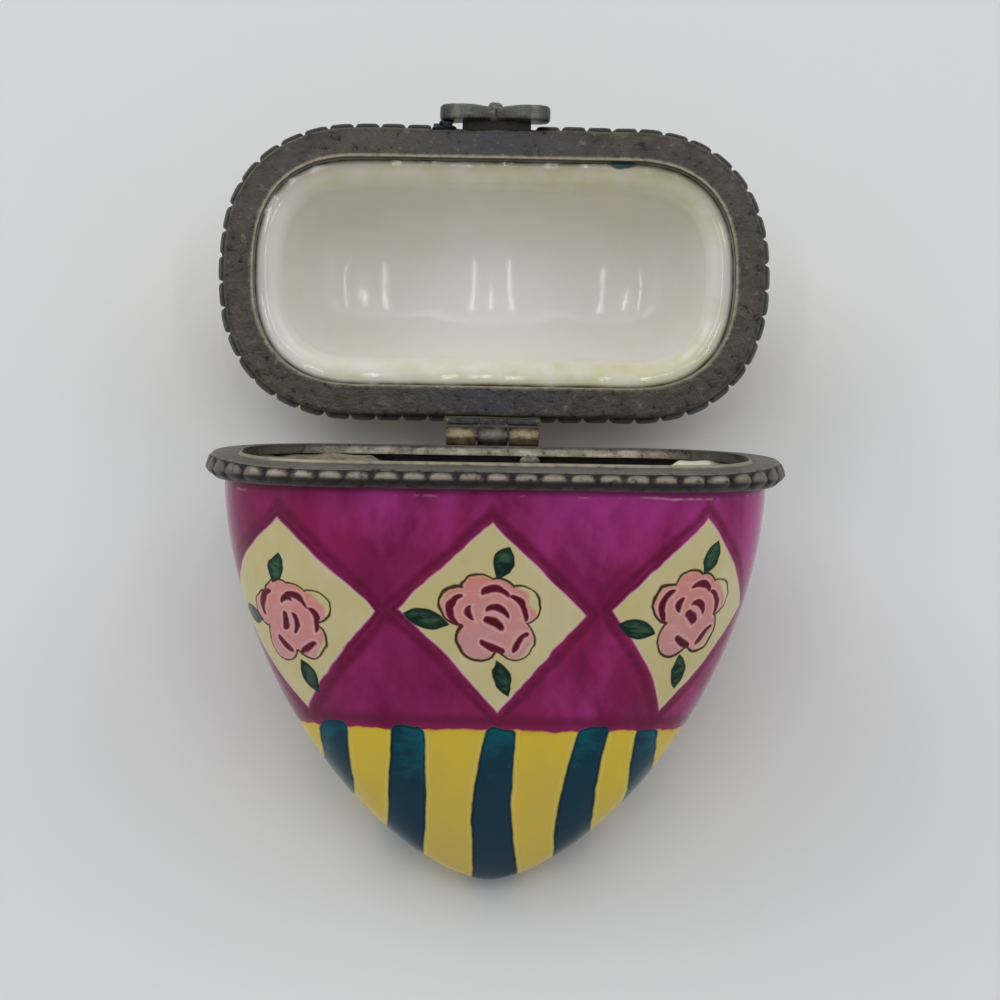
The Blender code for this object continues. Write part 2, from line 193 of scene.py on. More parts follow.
class Finish:
    """A material with a Principled shader, and the patterns and mixes that lead to it."""

    def __init__(self, name, turn, **uniform):
        self.material = bpy.data.materials.new(name)
        self.material.use_nodes = True
        self.tree = self.material.node_tree
        self.shader = self.tree.nodes["Principled BSDF"]
        for socket, value in uniform.items():
            self.shader.inputs[socket.replace("_", " ")].default_value = value
        place = self.tree.nodes.new("ShaderNodeTexCoord")
        turned = self.tree.nodes.new("ShaderNodeMapping")
        back = Matrix.Rotation(-turn, 3, "X")
        turned.inputs["Scale"].default_value = (1000.0, 1000.0, 1000.0)
        turned.inputs["Rotation"].default_value = (-turn, 0.0, 0.0)
        turned.inputs["Location"].default_value = Vector(PIN_SHUT) - back @ Vector(PIN_LAID * 1000.0)
        self.tree.links.new(place.outputs["Object"], turned.inputs["Vector"])
        self.millimetres = turned.outputs["Vector"]

    def split(self, vector):
        node = self.tree.nodes.new("ShaderNodeSeparateXYZ")
        self.tree.links.new(vector, node.inputs[0])
        return [Number(self.tree, output) for output in node.outputs]

    def wrap(self, name):
        """The two numbers of a UV map of the piece."""
        node = self.tree.nodes.new("ShaderNodeUVMap")
        node.uv_map = name
        return self.split(node.outputs["UV"])[:2]

    def mark(self, name):
        """A number that the piece's mesh holds at each vertex."""
        node = self.tree.nodes.new("ShaderNodeAttribute")
        node.attribute_name = name
        return Number(self.tree, node.outputs["Fac"])

    def noise(self, per_mm, detail=2.0, roughness=0.5, stretch=(1, 1, 1), shift=0, place=None):
        """Cloudy noise from 0 to 1, with this many waves a millimetre of the box, or of a place given."""
        spread = self.tree.nodes.new("ShaderNodeMapping")
        spread.inputs["Scale"].default_value = [per_mm * s for s in stretch]
        spread.inputs["Location"].default_value = (7.3 * shift, 3.1 * shift, 5.7 * shift)
        self.tree.links.new(place or self.millimetres, spread.inputs["Vector"])
        node = self.tree.nodes.new("ShaderNodeTexNoise")
        node.inputs["Scale"].default_value = 1.0
        node.inputs["Detail"].default_value = detail
        node.inputs["Roughness"].default_value = roughness
        self.tree.links.new(spread.outputs["Vector"], node.inputs["Vector"])
        return Number(self.tree, node.outputs["Fac"])

    def join(self, x, y):
        """Two numbers as one vector."""
        node = self.tree.nodes.new("ShaderNodeCombineXYZ")
        self.tree.links.new(x.socket, node.inputs["X"])
        self.tree.links.new(y.socket, node.inputs["Y"])
        return node.outputs["Vector"]

    def mix(self, under, over, amount):
        """The colour under, covered by the colour over where amount is 1."""
        node = self.tree.nodes.new("ShaderNodeMix")
        node.data_type = "RGBA"
        node.clamp_factor = True
        self.tree.links.new(amount.socket, node.inputs["Factor"])
        for slot, value in ((node.inputs[6], under), (node.inputs[7], over)):
            if isinstance(value, tuple):
                slot.default_value = (*value, 1.0)
            else:
                self.tree.links.new(value, slot)
        return node.outputs[2]

    def feed(self, socket, value):
        self.tree.links.new(getattr(value, "socket", value), self.shader.inputs[socket])

    def relief(self, height, depth_mm):
        """Bumps as high as depth_mm where height is 1."""
        node = self.tree.nodes.new("ShaderNodeBump")
        node.inputs["Distance"].default_value = depth_mm * 0.001
        self.tree.links.new(height.socket, node.inputs["Height"])
        self.tree.links.new(node.outputs["Normal"], self.shader.inputs["Normal"])


paper_finish = Finish("paper", 0.0, Roughness=0.85)
paper_tone = paper_finish.noise(0.02, detail=3.0)
paper_finish.feed("Base Color", paper_finish.mix((0.76, 0.775, 0.79), (0.79, 0.805, 0.82), paper_tone))
paper.data.materials.append(paper_finish.material)

# ---------------------------------------------------------------- painted porcelain body
# The lower two thirds of the heart: slip-cast white porcelain, hollow, painted by hand over the
# glaze. Six cream diamonds with a rose in each go round a magenta ground; the tip is mustard
# yellow with blue-green stripes.
BAND_HALF_WIDTH = 24.5
BAND_HALF_DEPTH = 13.0
BAND_STRAIGHT = 11.8
END_SQUARENESS = 2.4
SKIRT_INSET = 1.2
RIM_FOOT = 2.2
WALL = 3.2
LIP_LEVEL = 1.3
LIP_SOFT = 0.7
BODY_DEPTH = 35.2
TIP_WALL = 4.2
BODY_LIP_SOFT = 1.1


def oval(shares, offset=0.0):
    """Points at shares of the way round the rims' oval, from its front towards +X, moved out by offset.

    The oval is two straight runs joined by ends on |u|^n + |v|^n = 1; shares are of its length.
    """
    end = BAND_HALF_WIDTH - BAND_STRAIGHT
    angle = np.linspace(-np.pi / 2, np.pi / 2, 6000)
    power = 2 / END_SQUARENESS
    right = np.column_stack(
        [
            BAND_STRAIGHT + end * np.cos(angle).clip(0) ** power,
            BAND_HALF_DEPTH * np.sign(np.sin(angle)) * np.abs(np.sin(angle)) ** power,
        ]
    )
    start = np.array([[0.0, -BAND_HALF_DEPTH]])
    track = np.vstack([start, right, -right, start])
    track = track[np.r_[True, np.linalg.norm(np.diff(track, axis=0), axis=1) > 1e-7]]
    length = np.r_[0.0, np.cumsum(np.linalg.norm(np.diff(track, axis=0), axis=1))]

    def at(distance):
        distance = np.mod(distance, length[-1])
        return np.stack([np.interp(distance, length, track[:, k]) for k in (0, 1)], axis=-1)

    where = np.asarray(shares) * length[-1]
    along = at(where + 0.15) - at(where - 0.15)
    along /= np.linalg.norm(along, axis=-1, keepdims=True)
    outward = np.stack([along[..., 1], -along[..., 0]], axis=-1)
    return at(where) + np.asarray(offset)[..., None] * outward


def closed_skin(rings, poles=None, caps=False, wrap=None, marks=None):
    """The points and faces of a closed surface over rings of points, each ring closed on itself.

    The first and last ring are closed with a fan to a pole each, or with a flat cap each, or
    joined to each other. wrap is a UV pair for each point and the ring's end again; marks are
    named numbers for each point. Faces are read in steps of -1 where they would point inwards.
    """
    count, around = rings.shape[:2]
    ids = np.arange(count * around).reshape(count, around)
    across = np.roll(ids, -1, axis=1)
    open_ended = poles is not None or caps
    last = slice(None, -1) if open_ended else slice(None)
    above, above_across = np.roll(ids, -1, axis=0), np.roll(across, -1, axis=0)
    quads = np.stack([ids, across, above_across, above], axis=-1)[last].reshape(-1, 4)
    points = rings.reshape(-1, 3)
    marks = {name: np.broadcast_to(value, (count, around)).ravel() for name, value in (marks or {}).items()}
    faces = quads.tolist()
    corners = None
    if wrap is not None:
        here, there = wrap[:, :-1], wrap[:, 1:]
        up, up_there = np.roll(here, -1, axis=0), np.roll(there, -1, axis=0)
        corners = np.stack([here, there, up_there, up], axis=2)[last].reshape(-1, 2)
    if poles is not None:
        first, end = len(points), len(points) + 1
        points = np.vstack([points, poles])
        marks = {name: np.append(value, value[[0, -1]]) for name, value in marks.items()}
        low = np.stack([np.full(around, first), across[0], ids[0]], axis=-1)
        high = np.stack([np.full(around, end), ids[-1], across[-1]], axis=-1)
        faces += low.tolist() + high.tolist()
        if wrap is not None:
            low_fan = np.stack([(here[0] + there[0]) / 2, there[0], here[0]], axis=1)
            high_fan = np.stack([(here[-1] + there[-1]) / 2, here[-1], there[-1]], axis=1)
            corners = np.vstack([corners, low_fan.reshape(-1, 2), high_fan.reshape(-1, 2)])
    if caps:
        faces += [ids[0, ::-1].tolist(), ids[-1].tolist()]
    a, b, c, d = (points[quads[:, k]] - points.mean(axis=0) for k in range(4))
    inside_out = np.einsum("ij,ij->i", a, np.cross(b, c) + np.cross(c, d)).sum() < 0
    step = -1 if inside_out else 1
    return {"points": points, "faces": faces, "corners": corners, "marks": marks, "step": step}


def piece_of(name, skins, turn):
    """One object made of closed skins, given in the shut box's mm and laid with this turn."""
    points, faces, offset = [], [], 0
    for skin in skins:
        points.append(skin["points"])
        faces += [[k + offset for k in face[:: skin["step"]]] for face in skin["faces"]]
        offset += len(skin["points"])
    mesh = bpy.data.meshes.new(name)
    mesh.from_pydata(laid(np.vstack(points), turn).tolist(), [], faces)
    if skins[0]["corners"] is not None:
        sizes = [len(face) for face in skins[0]["faces"]]
        parts = np.split(skins[0]["corners"], np.cumsum(sizes)[:-1])
        corners = np.vstack([part[:: skins[0]["step"]] for part in parts])
        layer = mesh.uv_layers.new(name="round_and_down")
        layer.data.foreach_set("uv", corners.astype(np.float32).ravel())
    for mark in skins[0]["marks"]:
        values = np.concatenate([skin["marks"].get(mark, np.zeros(len(skin["points"]))) for skin in skins])
        mesh.attributes.new(mark, "FLOAT", "POINT").data.foreach_set("value", values.astype(np.float32))
    mesh.shade_smooth()
    piece = bpy.data.objects.new(name, mesh)
    bpy.context.scene.collection.objects.link(piece)
    return piece


def hand_over(piece, finish, body, node):
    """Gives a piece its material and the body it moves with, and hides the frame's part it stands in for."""
    piece.data.materials.append(finish)
    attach(piece, body)
    if node:
        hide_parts(node)


def waves_round(shares, cycles, phase=0.0):
    """A sine wave with this many cycles round the oval, at shares of the way round it."""
    return np.sin(2 * np.pi * (cycles * shares + phase))


AROUND = 360
# Rings start and end at the back, so that the painting's seam is there.
shares = np.arange(AROUND) / AROUND - 0.5


def body_ring(inset, share_of_depth, full_depth):
    """A ring of the body: the oval, narrowed by (1 - t^1.8)^0.65 across and (1 - t^2)^0.6 front to back."""
    plan = oval(shares, np.full(AROUND, -inset))
    across = (1 - share_of_depth**1.8) ** 0.65
    deep = (1 - share_of_depth**2) ** 0.6
    down = LIP_LEVEL + LIP_SOFT + share_of_depth * full_depth
    return np.column_stack([plan[:, 0] * across, plan[:, 1] * deep, np.full(AROUND, -down)])


def lip_rings(side, width, outer_soft, inner_soft, wave, last=np.pi / 2):
    """Rings over a shell's rounded lip, from its outer to its inner wall, dropped by a wave in its middle.

    The outer rounding is a quarter turn; the inner one is left off at the angle last.
    """
    turn = np.linspace(0, np.pi / 2, 9)
    outer = [(outer_soft * (1 - math.cos(a)), outer_soft * (1 - math.sin(a))) for a in turn]
    level = [(inset, 0.0) for inset in np.linspace(outer_soft, width - inner_soft, 9)[1:-1]]
    turn = np.linspace(0, last, 13)
    inner = [(width - inner_soft * (1 - math.sin(a)), inner_soft * (1 - math.cos(a))) for a in turn]
    rings = []
    for inset, drop in outer + level + inner:
        plan = oval(shares, np.full(AROUND, -(SKIRT_INSET + inset)))
        height = LIP_LEVEL + drop + wave * np.sin(np.pi * np.clip(inset / width, 0, 1)) ** 0.5
        rings.append(np.column_stack([plan, side * height]))
    return rings


# The lip stands lower along the back, where a dark gap shows under the rim.
mouth = oval(shares, np.zeros(AROUND))
low_stretch = np.clip(1 - ((mouth[:, 0] - 3.4) / 14.0) ** 4, 0, 1) ** 0.5 * (mouth[:, 1] > 0)
body_wave = 1.1 * low_stretch - 0.3 + 0.07 * waves_round(shares, 11) + 0.05 * waves_round(shares, 29)
outer_shares = np.sin(np.linspace(np.pi / 2 * 0.992, 0, 120))[:-1]
inner_shares = np.sin(np.linspace(0.05, np.pi / 2 * 0.98, 60))
inner_depth = BODY_DEPTH - TIP_WALL
body_rings = [body_ring(SKIRT_INSET, t, BODY_DEPTH) for t in outer_shares]
body_rings += lip_rings(-1, WALL, LIP_SOFT, BODY_LIP_SOFT, body_wave)
body_rings += [body_ring(SKIRT_INSET + WALL, t, inner_depth) for t in inner_shares]
body_rings = np.array(body_rings)
body_tip = (0.0, 0.0, -(LIP_LEVEL + LIP_SOFT + BODY_DEPTH))
hollow_tip = (0.0, 0.0, -(LIP_LEVEL + LIP_SOFT + inner_depth))

# The diamonds were placed by eye: they stand a little closer at the left of the front. Each has
# its own lean, place, slope and half width, and its rose its own place beside the diamond's
# middle, size and turn; the leaves stray from their places. From the front one round to +X, in mm.
# A lean is how far a diamond's lowest corner, LEAN_REACH below its middle, is moved aside.
DIAMOND_WIDTH = 18.2
DIAMOND_MIDDLE = 12.75
LEAN_REACH = 8.3
LEANS = (0.45, 0.25, 0.5, -0.3, 0.6, -1.3)
BY_DIAMOND = {
    "diamond_right": (-0.05, -0.25, 0.1, 0.0, -0.1, 0.5),
    "diamond_down": (-0.12, -0.45, 0.2, -0.1, 0.15, -0.1),
    "diamond_slope": (0.037, -0.01, 0.0, 0.02, -0.03, 0.0),
    "diamond_half": (7.75, 7.85, 7.9, 7.8, 7.9, 8.3),
    "rose_right": (-0.28, -0.05, 0.3, 0.0, -0.3, 0.55),
    "rose_down": (0.47, 0.25, 0.2, 0.4, 0.0, 1.0),
    "rose_size": (1.0, 1.0, 0.97, 1.03, 1.0, 0.93),
    "rose_turn": (0.0, 0.25, -0.6, 1.0, -0.2, 1.35),
    "top_leaf": (0.0, -0.3, -0.3, 0.3, 0.0, -2.0),
    "side_leaf": (0.0, 0.9, 0.2, -0.3, 0.1, -0.5),
    "low_leaf": (0.0, -0.3, 0.3, 0.0, -0.5, 0.2),
}
sixths = np.append(shares, 0.5) * 6
swing = 2 * np.pi * sixths / 6
diamond_count = sixths + 0.10 * np.sin(swing) + 0.13 * (1 - np.cos(swing))
down = -np.concatenate([body_rings[:, :, 2], body_rings[:, :1, 2]], axis=1)
lean = np.interp(diamond_count, np.arange(-6, 7), [LEANS[k % 6] for k in range(-6, 7)])
leaned = diamond_count - lean * (down - DIAMOND_MIDDLE) / LEAN_REACH / DIAMOND_WIDTH
body_marks = {"inside": (np.arange(len(body_rings)) > len(outer_shares) + 4)[:, None]}
# Steady across each diamond, changing over between one and the next.
knots = np.repeat(np.arange(-4, 5), 2) + np.tile((-0.44, 0.44), 9)
for mark, values in BY_DIAMOND.items():
    at_knots = np.take(values, np.round(knots).astype(int), mode="wrap")
    body_marks[mark] = np.interp(diamond_count[:-1], knots, at_knots)
body_skin = closed_skin(
    body_rings,
    poles=[body_tip, hollow_tip],
    wrap=np.stack([leaned, down], axis=-1),
    marks=body_marks,
)
porcelain_body = piece_of("painted_porcelain_body", [body_skin], BODY_TURN)

glaze = Finish("hand_painted_glaze", BODY_TURN, Roughness=0.13, IOR=1.5, Specular_IOR_Level=0.2)
count_round, depth = glaze.wrap("round_and_down")
across = glaze.split(glaze.millimetres)[0]
hand_a = glaze.noise(0.16, detail=2.0) - 0.5
hand_b = glaze.noise(0.16, detail=2.0, shift=4) - 0.5
tremor = glaze.noise(0.9, detail=1.0, shift=2) - 0.5
brush = glaze.noise(0.30, detail=3.0, roughness=0.6, stretch=(1.0, 1.0, 0.55))
streak = glaze.noise(1.6, detail=2.0, roughness=0.6, stretch=(0.35, 0.6, 1.0), shift=5)

# Where a point is in its own diamond: right and down from the diamond's middle, in mm.
cell = count_round.op("ROUND")
to_right = (count_round - cell) * DIAMOND_WIDTH - glaze.mark("diamond_right") + hand_a * 0.8 + tremor * 0.2
to_bottom = depth - glaze.mark("diamond_down") - to_right * glaze.mark("diamond_slope")
to_bottom = to_bottom - DIAMOND_MIDDLE + hand_b * 0.8 + tremor * 0.2
DIAMOND_HALF_ABOVE = 7.75
DIAMOND_HALF_BELOW = 8.7
taller_below = to_bottom.op("GREATER_THAN", 0.0) * (DIAMOND_HALF_BELOW - DIAMOND_HALF_ABOVE)
half_height = taller_below + DIAMOND_HALF_ABOVE
from_edge = (abs(to_right) / glaze.mark("diamond_half") + abs(to_bottom) / half_height - 1.0) * 5.6

# Magenta ground, brushed on along the diamonds' edges in patches, redder where it is thick and
# lighter where it is thin. It is also painted lighter towards the top, a painted sheen of the
# light on the glaze, and a little lighter towards +X.
MAGENTA_DEEP = (0.185, 0.010, 0.073)
MAGENTA = (0.325, 0.022, 0.138)
MAGENTA_RED = (0.27, 0.014, 0.078)
MAGENTA_THIN = (0.42, 0.040, 0.25)
CRIMSON = (0.14, 0.007, 0.042)
CRIMSON_DARK = (0.060, 0.005, 0.022)
bristle = glaze.noise(0.8, detail=3.0, roughness=0.6, place=glaze.join(from_edge, depth * 0.25), shift=2)
ground = glaze.mix(MAGENTA_DEEP, MAGENTA, (brush - 0.34) * 2.6 + (bristle - 0.5) * 0.6)
ground = glaze.mix(ground, MAGENTA_RED, ((hand_b + 0.02) * 4.0 + (bristle - 0.5) * 0.7).share(0.7))
thinned_and_lit = from_edge * 0.15 - depth * 0.04 + across * 0.023 + (brush - 0.5) * 2.0 + (bristle - 0.5) * 0.7
ground = glaze.mix(ground, MAGENTA_THIN, thinned_and_lit.share(0.85))
edge_stroke = abs(from_edge - 0.75 - hand_a * 0.8).within(0.36, 0.45) * (streak * 1.7).least(1.0)
ground = glaze.mix(ground, CRIMSON, edge_stroke * 0.9)
crossing = (abs(abs(to_right) - DIAMOND_WIDTH / 2) + abs(to_bottom) * 0.8).within(1.4, 2.2)
ground = glaze.mix(ground, CRIMSON, crossing * 0.5)
gathered = abs(from_edge - 0.3).within(0.10, 0.22) * ((hand_a + 0.02) * 8.0 + streak - 0.5).share()
ground = glaze.mix(ground, CRIMSON_DARK, gathered * 0.75)
# Just under the metal a band is painted darker, painted shade below the rim; below it a thin
# broken pale line is painted in places, a painted glint of light on the glaze.
under_metal = depth - RIM_FOOT - 0.6 - hand_b * 0.5
ground = glaze.mix(ground, CRIMSON_DARK, under_metal.within(-0.15, 0.35) * 0.4)
glint_places = (hand_a * 4.0 + across * 0.022 + (streak - 0.52) * 3.5).share(0.75)
ground = glaze.mix(ground, (0.74, 0.52, 0.64), abs(under_metal).within(0.09, 0.13) * glint_places)

# Yellow tip, painted duller and browner towards its end as a painted reflection of the room's
# light; a crimson line and a little orange where the grounds meet.
BORDER_DEPTH = 22.85
border = depth - BORDER_DEPTH - hand_a - tremor * 0.45
ground = glaze.mix(ground, CRIMSON, abs(border + 0.85).within(0.5, 0.7) * 0.75)
ground = glaze.mix(ground, (0.27, 0.010, 0.065), abs(border + 0.1).within(0.16, 0.2) * 0.8)
YELLOW = (0.72, 0.522, 0.046)
OCHRE = (0.61, 0.462, 0.100)
yellow = glaze.mix(YELLOW, OCHRE, (depth - 25.0) * 0.07 + (brush - 0.4) * 1.5)
yellow = glaze.mix(yellow, (0.58, 0.27, 0.05), (border - hand_b * 1.2).within(0.1, 0.5) * 0.5)

# Stripes, which run on over the tip to the back: centre across at the border and STRIPE_RUN further
# down, half-width at both, and how far the stripe sways between them, in mm.
STRIPE_RUN = 11.0
BLUE_GREEN = (0.001, 0.039, 0.066)
BLUE_GREEN_THIN = (0.003, 0.125, 0.160)
BLUE_VIOLET = (0.006, 0.024, 0.046)
STRIPE_EDGE = (0.001, 0.012, 0.012)
run = ((depth - BORDER_DEPTH) / STRIPE_RUN).least(1.2)
swell = run * (1.0 - run) * 4.0
STRIPES = (
    (-13.5, -13.0, 1.2, 1.2, 0.2),
    (-7.2, -7.35, 1.50, 1.70, 0.15),
    (0.75, 0.25, 1.35, 1.85, -0.4),
    (8.45, 7.1, 1.30, 1.65, -0.4),
    (13.15, 12.2, 1.0, 1.3, 0.0),
)
off_stripes, right_sides = [], []
for centre_top, centre_low, half_top, half_low, sway in STRIPES:
    centre = run * (centre_low - centre_top) + centre_top
    aside = across - centre - swell * sway + hand_b * 0.6 + tremor * 0.15
    off = abs(aside) - (run * (half_low - half_top) + half_top)
    off_stripes.append(off)
    right_sides.append((aside - half_top + 0.5).share(1.2) * off.within(0.0, 0.1))
from_stripe = nearest(off_stripes)
on_right = functools.reduce(Number.most, right_sides)
# The stripes' tops are rounded: a box's distance with its corners on a radius.
TOP_RADIUS = 0.6
past_side, past_top = from_stripe + TOP_RADIUS, hand_b * 1.5 - border + 0.3
beyond_corner = length_of(past_side.most(0.0), past_top.most(0.0))
from_stripe = beyond_corner + past_side.most(past_top).least(0.0) - TOP_RADIUS
yellow = glaze.mix(yellow, (0.62, 0.58, 0.20), abs(from_stripe - 0.22).within(0.05, 0.2) * 0.7)
painted = glaze.mix(yellow, ground, border.within(0.0, 0.15))
thin_paint = (streak - 0.5) * 1.2 + on_right * 0.9 - (depth - 25.2) * 0.16 + (brush - 0.5) * 2.0
teal = glaze.mix(BLUE_GREEN, BLUE_GREEN_THIN, thin_paint.share())
teal = glaze.mix(teal, BLUE_VIOLET, ((depth - 27.5) * 0.09 + (brush - 0.5) * 1.5).share(0.8))
dark_edge = abs(from_stripe + 0.14).within(0.10, 0.2) * (streak * 2.4 - 0.4).share(0.85)
teal = glaze.mix(teal, STRIPE_EDGE, dark_edge)
painted = glaze.mix(painted, teal, from_stripe.within(0.0, 0.14))

# Cream diamonds, pinkish where the magenta thins at their edge.
cream = glaze.mix((0.60, 0.525, 0.25), (0.66, 0.59, 0.37), (brush - 0.4) * 2.6 + (to_right * 0.04))
pink_edge = abs(from_edge + 0.02).within(0.10, 0.3) * (brush * 1.8 + 0.05).share()
cream = glaze.mix(cream, (0.72, 0.50, 0.50), pink_edge)
painted = glaze.mix(painted, cream, from_edge.within(0.0, 0.16))

# Roses. The outline is a line round overlapping petals, each a circle; the pink is laid on a
# little off it.
size = glaze.mark("rose_size")
rose_x = (to_right - glaze.mark("rose_right") + tremor * 0.3) / size
rose_y = (to_bottom - glaze.mark("rose_down") + hand_a * 0.3) / size
turn = glaze.mark("rose_turn")
PETALS = (
    (0.0, 0.0, 2.8),
    (-0.8, -2.0, 1.72),
    (0.65, -1.8, 1.6),
    (2.55, -1.3, 1.6),
    (1.75, 1.6, 1.8),
    (-1.35, 1.95, 1.78),
    (-2.6, -0.9, 1.65),
)
outline = nearest([length_of(rose_x - x, rose_y - y) - radius for x, y, radius in PETALS])
patchy = length_of((rose_x + 0.30) * 0.93, rose_y - 0.1) - 3.75 + hand_b * 0.8 + tremor * 0.6
fill = (outline + 0.1).most(patchy)
PINK_TOP = (0.66, 0.25, 0.215)
PINK_LOW = (0.60, 0.29, 0.31)
PINK_PALE = (0.70, 0.40, 0.39)
pink = glaze.mix(PINK_TOP, PINK_LOW, (rose_y * 0.14 + 0.45 + (brush - 0.5) * 1.5).share())
pink = glaze.mix(pink, PINK_PALE, (streak - 0.52) * 2.5)
painted = glaze.mix(painted, pink, fill.within(0.0, 0.3))
line_weight = (hand_b * 0.4 + 0.105).most(0.075)
painted = glaze.mix(painted, (0.070, 0.026, 0.012), (abs(outline) - line_weight).within(0.0, 0.1))


def turned_by(x, y, angle):
    """Two coordinates turned about the rose's heart by an angle."""
    return x * angle.op("COSINE") + y * angle.op("SINE"), y * angle.op("COSINE") - x * angle.op("SINE")


# Strokes on the petals, then on the heart, which is turned further: middle right and down,
# heading in degrees, half length, half weight, and how far the middle bows aside.
PETAL_STROKES = (
    (0.37, -2.42, 5, 0.95, 0.33, -0.30),
    (2.55, -1.20, 57, 1.00, 0.30, -0.35),
    (-3.25, -0.65, 98, 1.15, 0.34, 0.45),
    (2.25, 1.80, 131, 0.95, 0.27, 0.08),
    (-0.20, 2.50, 20, 0.85, 0.32, 0.08),
)
HEART_STROKES = (
    (0.46, -0.80, 15, 0.75, 0.33, -0.28),
    (0.06, 0.37, 25, 0.62, 0.41, -0.05),
    (-1.95, -0.40, 92, 0.50, 0.27, 0.20),
)
off_strokes = []
for strokes, share_of_turn in ((PETAL_STROKES, 0.25), (HEART_STROKES, 1.0)):
    swung_x, swung_y = turned_by(rose_x, rose_y, turn * share_of_turn)
    for middle_x, middle_y, heading, half_length, weight, bow in strokes:
        along, beside = headed(swung_x - middle_x, swung_y - middle_y, heading)
        along = along / half_length
        beside = beside + along * along * bow - bow / 3
        beyond = (abs(along) - 1.0).most(0.0) * half_length
        off_strokes.append(length_of(beyond, beside) + along * along * 0.07 - weight)
stroke = nearest(off_strokes) + tremor * 0.25
painted = glaze.mix(painted, (0.76, 0.46, 0.44), (stroke.within(0.24, 0.22) * fill.within(-0.1, 0.2)) * 0.6)
painted = glaze.mix(painted, (0.17, 0.010, 0.036), stroke.within(0.02, 0.14))
painted = glaze.mix(painted, (0.055, 0.004, 0.012), stroke.within(-0.12, 0.2) * (brush * 1.3).least(0.9))

# Leaves: an almond above, left of and below the rose; its middle, direction and half sizes.
LEAVES = (
    (1.2, -4.75, -72, 1.55, 0.85, "top_leaf"),
    (-5.35, 0.35, 12, 1.85, 0.85, "side_leaf"),
    (0.7, 5.1, 70, 1.65, 0.85, "low_leaf"),
)
off_leaves = []
for leaf_x, leaf_y, heading, half_length, half_width, stray in LEAVES:
    here_x, here_y = rose_x - leaf_x, rose_y - leaf_y
    if stray == "side_leaf":
        here_y = here_y - glaze.mark(stray)
    else:
        here_x = here_x - glaze.mark(stray)
    along, beside = headed(here_x, here_y, heading)
    along = along / half_length
    off_leaves.append(abs(beside - hand_b * 0.4) - (1.0 - along * along) * half_width)
leaf = nearest(off_leaves)
leaf_light = (leaf.within(-0.35, 0.5) * ((streak - 0.38) * 4.0).share()).share(0.9)
green = glaze.mix((0.007, 0.022, 0.017), (0.050, 0.125, 0.065), leaf_light)
painted = glaze.mix(painted, green, leaf.within(0.0, 0.12))

# The hollow is bare cream glaze; the lip under the rim is coloured a mottled dark brown, turning
# cream beyond 13 mm towards +X, brown again in a band near 20 mm.
dark_lip_mottle = glaze.mix((0.24, 0.20, 0.15), (0.085, 0.068, 0.050), (streak - 0.42) * 3.5)
paler_lip_part = ((across - 13.0) * 0.6).share() * (1.0 - abs(across - 19.8).within(0.6, 0.6) * 0.8)
lip_glaze = glaze.mix(dark_lip_mottle, (0.66, 0.62, 0.50), paler_lip_part)
hollow_glaze = glaze.mix((0.80, 0.77, 0.71), (0.74, 0.70, 0.61), (brush - 0.4) * 2.5)
bare = glaze.mix(hollow_glaze, lip_glaze, (depth + streak * 1.5).within(4.4, 0.9))
glaze.feed("Base Color", glaze.mix(painted, bare, glaze.mark("inside").op("GREATER_THAN", 0.5)))
glaze.relief(glaze.noise(0.45, detail=2.0, shift=1), 0.03)
hand_over(porcelain_body, glaze.material, "box", "porcelain_body")

# ---------------------------------------------------------------- beaded rim of the body
# A cast band round the mouth, crimped over the porcelain's edge, with a row of beads round its
# wall. The brass is darkened all over and worn brighter along its edges and on the beads. Its
# colour also carries painted light: a painted highlight along the inner ridge and on the beads'
# upper halves, a painted sheen on the inner wall along the back, and painted shade below the
# beads' crests, under the flange and along the back's inner edge.
BAND_WIDTH = 2.7
FLANGE_LEVEL = 1.0
SKIRT = 0.9
BEADS = 56
BEAD_LEVEL = 1.35
BEAD_ABOVE = 0.60
BEAD_TALLER_AT_ENDS = 0.40
BEAD_BELOW = 0.72
BEAD_PROUD = 0.47
FOOT_INSET = 0.32
FACE_INNER = 0.05
FACE_OUTER = 0.18
STATIONS_PER_BEAD = 12
HINGE_HALF_WIDTH = 4.2


def straight(start, end, gap):
    """Points about gap apart between two others."""
    steps = np.linspace(0, 1, int(np.linalg.norm(end - start) / gap) + 2)[1:-1, None]
    return start + (end - start) * steps


def rounded(corners, radii, gap):
    """A closed outline through corners, each rounded to its radius, with points about gap apart."""
    outline = []
    corners = np.array(corners, float)
    for k, corner in enumerate(corners):
        before = corners[k - 1] - corner
        after = corners[(k + 1) % len(corners)] - corner
        before /= np.linalg.norm(before)
        after /= np.linalg.norm(after)
        start, end = corner + before * radii[k], corner + after * radii[k]
        if outline:
            outline.extend(straight(outline[-1], start, gap))
        for t in np.linspace(0, 1, 6):
            outline.append((1 - t) ** 2 * start + 2 * t * (1 - t) * corner + t * t * end)
    outline.extend(straight(outline[-1], outline[0], gap))
    return np.array(outline)


def rim_section(ridge):
    """The band cut across, in offset from the oval and level: a raised ridge along the inner edge,
    the face a little below it, a beaded wall, a skirt and a flange.
    """
    corners = [
        (-BAND_WIDTH, FACE_INNER),
        (-BAND_WIDTH + 0.16, FACE_INNER),
        (-BAND_WIDTH + 0.30, FACE_INNER + ridge),
        (0.0, FACE_OUTER),
        (0.0, BEAD_LEVEL),
        (-FOOT_INSET, RIM_FOOT),
        (-SKIRT, RIM_FOOT),
        (-SKIRT, FLANGE_LEVEL),
        (-BAND_WIDTH, FLANGE_LEVEL),
    ]
    return rounded(corners, (0.07, 0.06, 0.06, 0.24, 0.08, 0.2, 0.08, 0.08, 0.16), 0.12)


